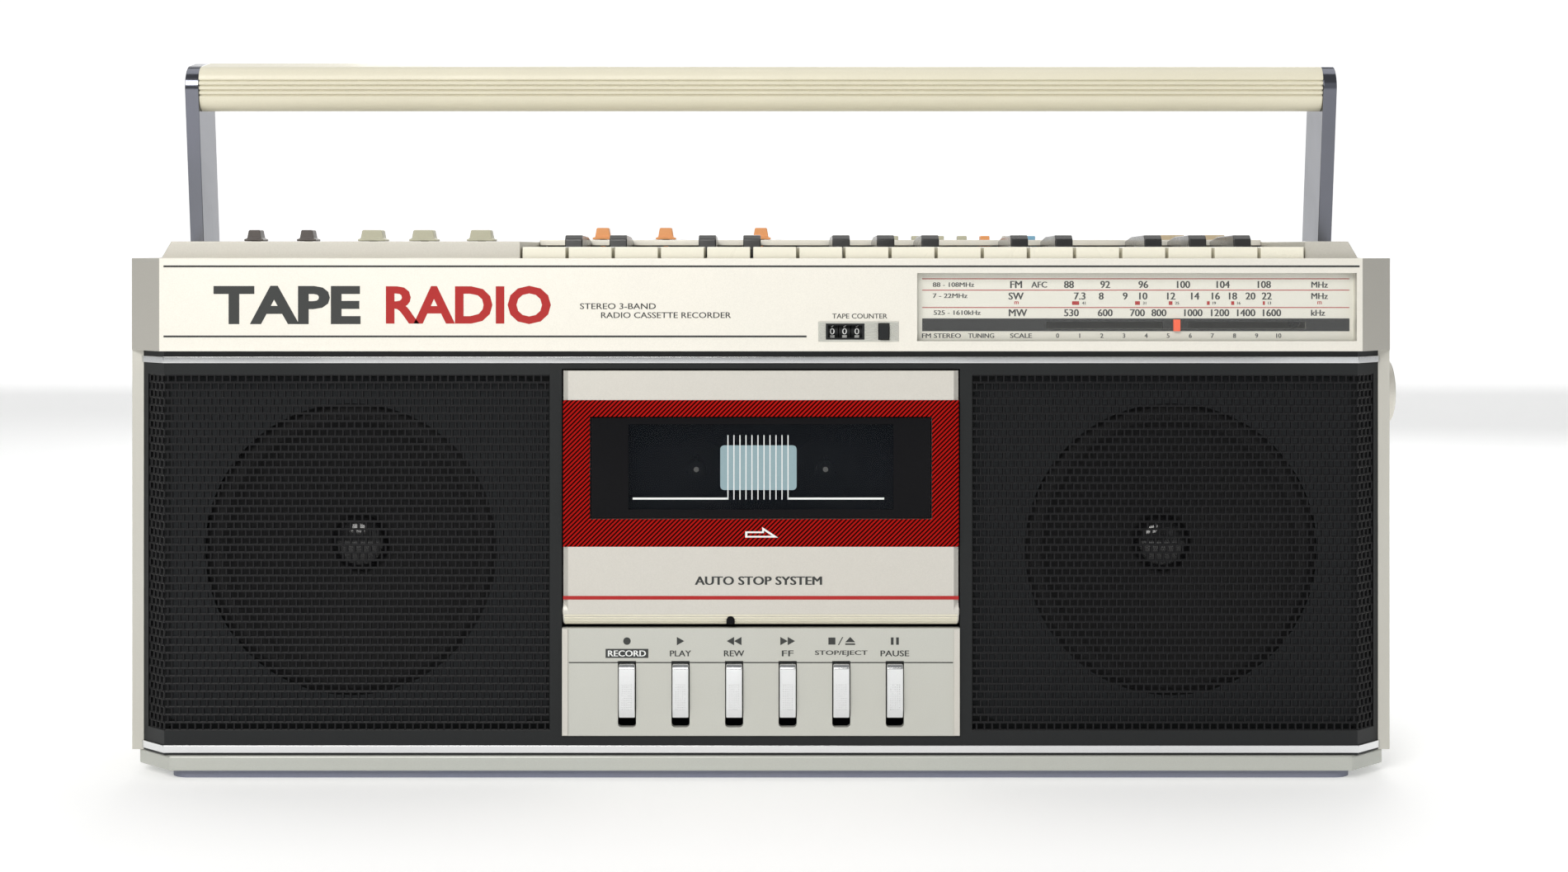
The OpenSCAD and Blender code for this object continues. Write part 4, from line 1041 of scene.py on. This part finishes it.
# Red blade of the pointer, on its black carriage behind the slot
def makePointer():
    low, high = inMillimetres("dial_pointer")
    x, z = (low[0] + high[0]) / 2, (low[2] + high[2]) / 2
    y = low[1]
    blade = printed("pointerBlade", "pointerRed", bodyOf["dial_pointer"],
                    lambda bm: tile(bm, roundedOutline(x - 1.1, x + 1.1, z - 1.9, z + 1.9, 0.3), y,
                                    y + 1.2))
    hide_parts("dial_pointer")
    carriage = bmesh.new()
    slab(carriage, x - 0.8, x + 0.8, y + 1.2, y + 3.2, z - 0.8, z + 0.8)
    tile(carriage, roundedOutline(low[0], high[0], z - 4, z + 4, 1.0), y + 3.2, high[1])
    toObject("pointerCarriage", carriage, "blackPlastic", bodyOf["dial_pointer"], smooth=False)


makePointer()
printed("dialInk", "darkInk", "cabinet", drawDialInk)
printed("dialRedInk", "redInk", "cabinet", drawDialRed)
printed("dialBand", "blackPlastic", "cabinet", drawDialBand)
print("dial ready")

# Tape counter: fine ribs on its plate, a dark window rim and white numerals on the wheels
counter = {"ribs": 11, "ribRadius": 0.16, "wheelLeft": 21.3, "wheelPitch": 4.0, "wheelWidth": 3.7,
           "face": -55.9}


def makeCounter():
    low, high = inMillimetres("counter_housing")
    wheelLow, wheelHigh = inMillimetres("counter_wheels")
    centre = (wheelLow[2] + wheelHigh[2]) / 2
    bottom, top = centre - 3.2, centre + 3.2
    step = (top - bottom) / (counter["ribs"] + 1)
    rows = []
    for left, right in ((low[0] + 0.3, 21.2), (33.2, 37.9), (41.7, high[0] - 0.3)):
        rows.append({"Start": metres((left + right) / 2, counter["face"], bottom + step),
                     "Step": metres(0, 0, step),
                     "Count": counter["ribs"], "Length": (right - left) * mm,
                     "Radius": counter["ribRadius"] * mm,
                     "Turn": alongX})
    grown("counterRibs", "ribs", rows, "lightGrey", "cabinet")
    printed("counterRim", "blackPlastic", "cabinet",
            lambda bm: frameTile(bm, (21.0, 33.5, centre - 2.6, centre + 2.6),
                                 (21.7, 32.8, centre - 2.0, centre + 2.0),
                                 counter["face"] - 0.2, counter["face"] + 0.05))
    # Numerals laid round each wheel, a tenth of a turn apart
    axis = (wheelLow[1] + wheelHigh[1]) / 2
    radius = (wheelHigh[2] - wheelLow[2]) / 2
    bm = bmesh.new()
    for wheel in range(3):
        x = counter["wheelLeft"] + counter["wheelPitch"] * wheel + counter["wheelWidth"] / 2
        for digit in range(10):
            label = bmesh.new()
            addWords(label, [(str(digit), x, centre, 2.0, 1.5)], axis - radius, proud=0.04)
            bmesh.ops.rotate(label, verts=label.verts, cent=metres(x, axis, centre),
                             matrix=Matrix.Rotation(math.radians(36 * digit), 3, "X"))
            mesh = bpy.data.meshes.new("digit")
            label.to_mesh(mesh)
            label.free()
            bm.from_mesh(mesh)
            bpy.data.meshes.remove(mesh)
    toObject("counterNumerals", bm, "whiteInk", bodyOf["counter_wheels"],
             smooth=False)


makeCounter()
print("counter ready")

# Cassette door: red hatched band, black window panel, printed guides, motto and ribbed lip
door = {"face": -53.6, "half": 64.2, "bandLow": 75.9, "bandHigh": 123.5, "windowHalf": 55.5,
        "windowLow": 84.9,
        "windowHigh": 118.1, "panelFace": -53.4, "clearHalf": 43.0, "clearLow": 88.0, "clearHigh": 115.6,
        "guides": 11, "guideLeft": -10.7, "guidePitch": 1.95, "guideHalf": 0.16, "guideLow": 91.2,
        "guideHigh": 112.1,
        "rollRadius": 4.1, "lipRib": 0.3, "motto": "AUTO STOP SYSTEM"}


def drawBand(bm):
    d = door
    frameTile(bm, (-d["half"], d["half"], d["bandLow"], d["bandHigh"]),
              (-d["windowHalf"], d["windowHalf"], d["windowLow"], d["windowHigh"]), d["face"] - 0.09,
              d["face"] + 0.02)


def drawPanelRim(bm):
    d = door
    frameTile(bm, (-55.1, 55.1, d["windowLow"] + 0.35, d["windowHigh"] - 0.35),
              (-d["clearHalf"], d["clearHalf"], d["clearLow"], d["clearHigh"]), d["panelFace"] - 0.12,
              d["panelFace"] + 0.02)


def drawGuides(bm):
    face = door["panelFace"]
    for i in range(door["guides"]):
        x = door["guideLeft"] + door["guidePitch"] * i
        slab(bm, x - door["guideHalf"], x + door["guideHalf"], face - 0.16, face - 0.02, door["guideLow"],
             door["guideHigh"])
    for x0, x1 in ((-41.6, -10.7), (8.8, 40.0)):
        slab(bm, x0, x1, face - 0.16, face - 0.02, 91.2, 91.85)
    arrow = [(-5.1, 78.9), (5.6, 78.9), (0.4, 82.3), (0.4, 80.9), (-5.1, 80.9)]
    inside = [(-4.4, 79.45), (3.6, 79.45), (1.0, 81.15), (1.0, 80.35), (-4.4, 80.35)]
    face = door["face"]
    for i in range(5):
        j = (i + 1) % 5
        tile(bm, [arrow[i], arrow[j], inside[j], inside[i]], face - 0.16, face - 0.05)


def makeDoor():
    printed("doorHatch", "redHatch", "door", drawBand)
    printed("windowRim", "glossBlack", "door", drawPanelRim)
    printed("windowGuides", "whiteInk", "door", drawGuides)
    printed("windowBlue", "paleBlue", "door",
            lambda bm: tile(bm, roundedOutline(-13.2, 11.6, 94.3, 108.8, 1.3), door["panelFace"] - 0.1,
                            door["panelFace"] + 0.02))
    printed("doorRedRule", "redInk", "door",
            lambda bm: slab(bm, -door["half"], door["half"], door["face"] - 0.08, door["face"] + 0.02,
                            58.75, 59.95))
    printed("doorMotto", "darkInk", "door",
            lambda bm: addWords(bm, [(door["motto"], -0.8, 64.9, 2.75, 41.0)], door["face"], thick=0.06))
    # Ribs along the rolled lower edge, standing on the curve
    low, high = inMillimetres("cassette_door")
    radius = door["rollRadius"]
    y, z = low[1] + radius, low[2] + radius
    rows = []
    for angle in (12, 25, 38, 51, 64):
        a = math.radians(angle)
        rows.append({"Start": metres(0, y - radius * math.cos(a), z - radius * math.sin(a)),
                     "Step": metres(0, 0, 1),
                     "Count": 1, "Length": 2 * (door["half"] - 0.4) * mm, "Radius": door["lipRib"] * mm,
                     "Turn": alongX})
    grown("doorLipRibs", "ribs", rows, "lipCream", "door")
    printed("doorNotch", "glossBlack", "door",
            lambda bm: tile(bm, [(-11.2, 50.9), (-8.5, 50.9)] + [(-9.85 + 1.35 * math.cos(math.radians(a)),
                            52.0 + 1.35 * math.sin(math.radians(a))) for a in range(0, 181, 20)],
                            low[1] - 0.02, low[1] + 2.0))


makeDoor()
print("door ready")

# Transport: label strip with symbols, a groove above the key plate, and a knurled patch on each key
transport = {"face": -53.0, "pitch": 17.4, "grooveLow": 38.05, "grooveHigh": 38.4, "grooveHalf": 62.4,
             "symbols": 45.2, "labels": 41.2}


def leverX(i):
    return (i - 2.5) * transport["pitch"]


def triangle(x, z, point, size=1.2):
    return [(x - point * size, z - 1.35), (x + point * size, z), (x - point * size, z + 1.35)]


def drawTransportInk(bm):
    y0, y1 = transport["face"] - 0.05, transport["face"] + 0.02
    z = transport["symbols"]
    tile(bm, disc(leverX(0), z, 1.22), y0, y1)
    tile(bm, triangle(leverX(1), z, 1), y0, y1)
    for dx in (-1.2, 1.2):
        tile(bm, triangle(leverX(2) + dx, z, -1), y0, y1)
        tile(bm, triangle(leverX(3) + dx, z, 1), y0, y1)
    x = leverX(4)
    slab(bm, x - 4.2, x - 1.9, y0, y1, z - 1.15, z + 1.15)
    tile(bm, [(x - 1.1, z - 1.3), (x - 0.75, z - 1.3), (x + 0.65, z + 1.3), (x + 0.3, z + 1.3)], y0, y1)
    tile(bm, [(x + 1.3, z - 0.35), (x + 4.5, z - 0.35), (x + 2.9, z + 1.35)], y0, y1)
    slab(bm, x + 1.3, x + 4.5, y0, y1, z - 1.25, z - 0.75)
    for dx in (-0.85, 0.85):
        slab(bm, leverX(5) + dx - 0.45, leverX(5) + dx + 0.45, y0, y1, z - 1.2, z + 1.2)
    z = transport["labels"]
    addWords(bm, [("PLAY", leverX(1), z, 1.9, 6.8), ("REW", leverX(2), z, 1.9, 6.5),
                  ("FF", leverX(3), z, 1.9, 3.7),
                  ("STOP/EJECT", leverX(4), z, 1.9, 17.0), ("PAUSE", leverX(5), z, 1.9, 9.2)],
                  transport["face"],
             thick=0.035)
    slab(bm, leverX(0) - 6.95, leverX(0) + 6.95, y0, y1, z - 1.48, z + 1.48)


def makeTransport():
    face = transport["face"]
    printed("transportInk", "darkInk", "cabinet", drawTransportInk)
    printed("recordWord", "whiteInk", "cabinet",
            lambda bm: addWords(bm, [("RECORD", leverX(0), transport["labels"], 1.95, 12.2)], face - 0.05,
                                thick=0.045))
    printed("transportGroove", "blackPlastic", "cabinet",
            lambda bm: slab(bm, -transport["grooveHalf"], transport["grooveHalf"], face - 0.03, face + 0.02,
                            transport["grooveLow"], transport["grooveHigh"]))
    printed("sidePosts", "doorPaint", "cabinet",
            lambda bm: [slab(bm, s * 63.6 - 0.9, s * 63.6 + 0.9, face - 0.5, face + 0.1, 14.6,
                             49.2) for s in (-1, 1)])
    for i, key in enumerate(("record", "play", "rewind", "fast_forward", "stop_eject", "pause")):
        node = key + "_key"
        low, high = inMillimetres(node)
        patch = {"Centre": metres(leverX(i), low[1] + 0.24, 27.3), "Columns": 5, "Rows": 12,
                 "Pitch": 0.72 * mm,
                 "Radius": 0.22 * mm, "Lean": (math.radians(90 - 2.2), 0.0, 0.0)}
        grown(key + "KeyKnurl", "dots", [patch], "chrome", bodyOf[node])


makeTransport()
print("transport ready")

# Tuning knob: a knurled rim
tuner = {"ribs": 56, "ribRadius": 0.42}


def makeTunerRim():
    low, high = inMillimetres("tuning_knob")
    inner, outer = 207.2, high[0]
    centre = metres((inner + outer) / 2, (low[1] + high[1]) / 2, (low[2] + high[2]) / 2)
    radius = (high[2] - low[2]) / 2 - tuner["ribRadius"] - 0.02
    grown("tuningKnurl", "ring", [{"Centre": centre, "Count": tuner["ribs"], "Ring Radius": radius * mm,
                                   "Length": (outer - inner - 2.4) * mm,
                                   "Radius": tuner["ribRadius"] * mm}],
          "silverPaint", bodyOf["tuning_knob"])


makeTunerRim()
print("knobs ready")


# Turns front-facing print to face up (at a level) or to the rear
def facingUp(bm, level):
    turn = Matrix.Rotation(math.radians(-90), 4, "X")
    bmesh.ops.transform(bm, matrix=Matrix.Translation((0, 0, level * mm)) @ turn, verts=bm.verts)


def facingBack(bm):
    bmesh.ops.transform(bm, matrix=Matrix.Rotation(math.radians(180), 4, "Z"), verts=bm.verts)


# Top print: names by the knobs, a short scale beside each slot and names on the control panel
topPrint = {"height": 1.7, "tick": 0.16, "knobWords": ("FUNCTION", "BAND", "VOLUME", "BALANCE", "TONE"),
            "tickGap": 6.2}
knobNodes = ("function_knob", "band_knob", "volume_knob", "balance_knob", "tone_knob")
sliderNodes = ("piano_volume_slider", "rhythm_volume_slider", "tempo_slider")


def middle(node, axis):
    low, high = inMillimetres(node)
    return (low[axis] + high[axis]) / 2


def tickRows(names, level, step, side):
    rows = []
    for node in names:
        x, y = middle(node, 0), middle(node, 1)
        rows.append({"Start": metres(x + side * topPrint["tickGap"], y - 5, level),
                     "Step": metres(0, step, 0),
                     "Count": int(round(10 / step)) + 1, "Length": 2.2 * mm,
                     "Radius": topPrint["tick"] * mm, "Turn": alongX})
    return rows


def makeTopPrint():
    blockTop = inMillimetres("top_cover")[1][2]
    panelTop = inMillimetres("key_panel")[1][2]
    front = inMillimetres("function_knob")[0][1]
    bm = bmesh.new()
    words = []
    for node, word in zip(knobNodes, topPrint["knobWords"]):
        words.append((word, middle(node, 0), front - 7.5, topPrint["height"]))
    addWords(bm, words, 0, thick=0.03)
    facingUp(bm, blockTop)
    toObject("knobNames", bm, "darkInk", "cabinet", smooth=False)
    bm = bmesh.new()
    words = []
    for node, word in zip(sliderNodes, ("PIANO", "RHYTHM", "TEMPO")):
        words.append((word, middle(node, 0), middle(node, 1) - 10.6, 1.5))
    for node, word in (("start_button", "START"), ("fill_in_button", "FILL IN")):
        words.append((word, middle(node, 0), middle(node, 1) - 6.6, 1.4))
    words.append(("RHYTHM SELECT", middle("rhythm_button_4", 0), middle("rhythm_button_4", 1) - 6.6, 1.4))
    addWords(bm, words, 0, thick=0.03)
    facingUp(bm, panelTop)
    toObject("panelNames", bm, "darkInk", "cabinet", smooth=False)
    grown("knobTicks", "ribs", tickRows(knobNodes, blockTop - 0.08, 2.5, -1) + tickRows(knobNodes,
                                                                                        blockTop - 0.08,
                                                                                        2.5, 1),
          "darkInk", "cabinet")
    grown("sliderTicks", "ribs", tickRows(sliderNodes, panelTop - 0.08, 2.0, 1), "darkInk", "cabinet")


makeTopPrint()
print("top print ready")

# Rear: vent slots, battery cover seam, thumb ribs, socket contacts and names
rear = {"ventPitch": 4.4, "ventCount": 16, "ventLength": 26.0, "ventRadius": 1.0, "ventZ": 112.0,
        "ventX": (-150.0, 84.0)}


def makeRear():
    face = inMillimetres("rear_cabinet")[1][1]
    vents = []
    for x in rear["ventX"]:
        vents.append({"Start": metres(x, face - 0.8, rear["ventZ"]),
                      "Step": metres(rear["ventPitch"], 0, 0),
                      "Count": rear["ventCount"], "Length": rear["ventLength"] * mm,
                      "Radius": rear["ventRadius"] * mm,
                      "Turn": (0.0, 0.0, 0.0)})
    grown("rearVents", "ribs", vents, "blackPlastic", "cabinet")
    low, high = inMillimetres("battery_cover")
    x0, x1, z0, z1 = low[0], high[0], low[2], high[2]
    x = (x0 + x1) / 2
    printed("batterySeam", "darkInk", "cabinet",
            lambda bm: frameTile(bm, (x0 - 0.35, x1 + 0.35, z0 - 0.35, z1 + 0.35), (x0, x1, z0, z1),
                                 face - 0.3, face + 0.06))
    ribs = [{"Start": metres(x, face, z0 + 6 + 3.2 * i), "Step": metres(0, 0, 1), "Count": 1,
             "Length": (x1 - x0 - 16) * mm, "Radius": 0.5 * mm, "Turn": alongX} for i in range(9)]
    grown("batteryRibs", "ribs", ribs, "silverShell", "cabinet")
    thumb = [{"Start": metres(x - 7.2, face - 1.35, z1 - 6), "Step": metres(1.6, 0, 0), "Count": 10,
              "Length": 5.4 * mm, "Radius": 0.3 * mm, "Turn": (0.0, 0.0, 0.0)}]
    grown("latchRibs", "ribs", thumb, "silverShell", "cabinet")
    low, high = inMillimetres("rear_sockets")
    inletX = low[0] + 20.0
    z = (low[2] + high[2]) / 2
    pins = [{"Start": metres(inletX - 4, high[1] - 7, z), "Step": metres(8, 0, 0), "Count": 2,
             "Length": 12 * mm,
             "Radius": 1.2 * mm, "Turn": alongY}]
    grown("inletPins", "ribs", pins, "brassWheel", "cabinet")
    jackX = high[0] - 16.0
    bm = bmesh.new()
    turned(bm, jackX, z, [(1.75, high[1] - 2), (1.75, high[1] - 0.10), (1.9, high[1]), (3.2, high[1]),
                          (3.3, high[1] - 0.3), (1.75, high[1] - 2)], 32)
    toObject("jackRing", bm, "chrome", "cabinet")
    bm = bmesh.new()
    addWords(bm, [("AC INPUT", -inletX, z + 10.2, 1.7), ("PHONES", -jackX, z + 6.5, 1.7)], -high[1],
             thick=0.03)
    facingBack(bm)
    toObject("socketNames", bm, "whiteInk", "cabinet", smooth=False)


makeRear()
print("rear ready")

# Bright tips on the tape spindles, and the spring clips that hold the cassette
spindle = {"tip": 1.9, "clipHalf": 31.0, "clipLow": 106.0, "clipHigh": 113.0}


def makeTips():
    for node in ("supply_spindle", "take_up_spindle"):
        low, high = inMillimetres(node)
        x, z = (low[0] + high[0]) / 2, (low[2] + high[2]) / 2
        bm = bmesh.new()
        turned(bm, x, z, [(0, low[1] - 0.25), (0.7, low[1] - 0.1), (spindle["tip"], low[1] + 0.6),
                          (spindle["tip"], low[1] + 1.5), (0, low[1] + 1.5)], 24)
        toObject(node + "Tip", bm, "nylonWhite", bodyOf[node])
    low, high = inMillimetres("deck_chassis")
    bm = bmesh.new()
    for side in (-1, 1):
        x = side * spindle["clipHalf"]
        bottom, top = spindle["clipLow"], spindle["clipHigh"]
        tile(bm, roundedOutline(x - 4, x + 4, bottom, top, 0.6), low[1] - 3.0, low[1] - 0.5)
        tile(bm, roundedOutline(x - 1.2, x + 1.2, bottom - 2, top + 2, 0.5), low[1] - 3.8, low[1] - 2.8)
    toObject("cassetteClips", bm, "darkSteel", "cabinet", smooth=False)


makeTips()
print("deck details ready")
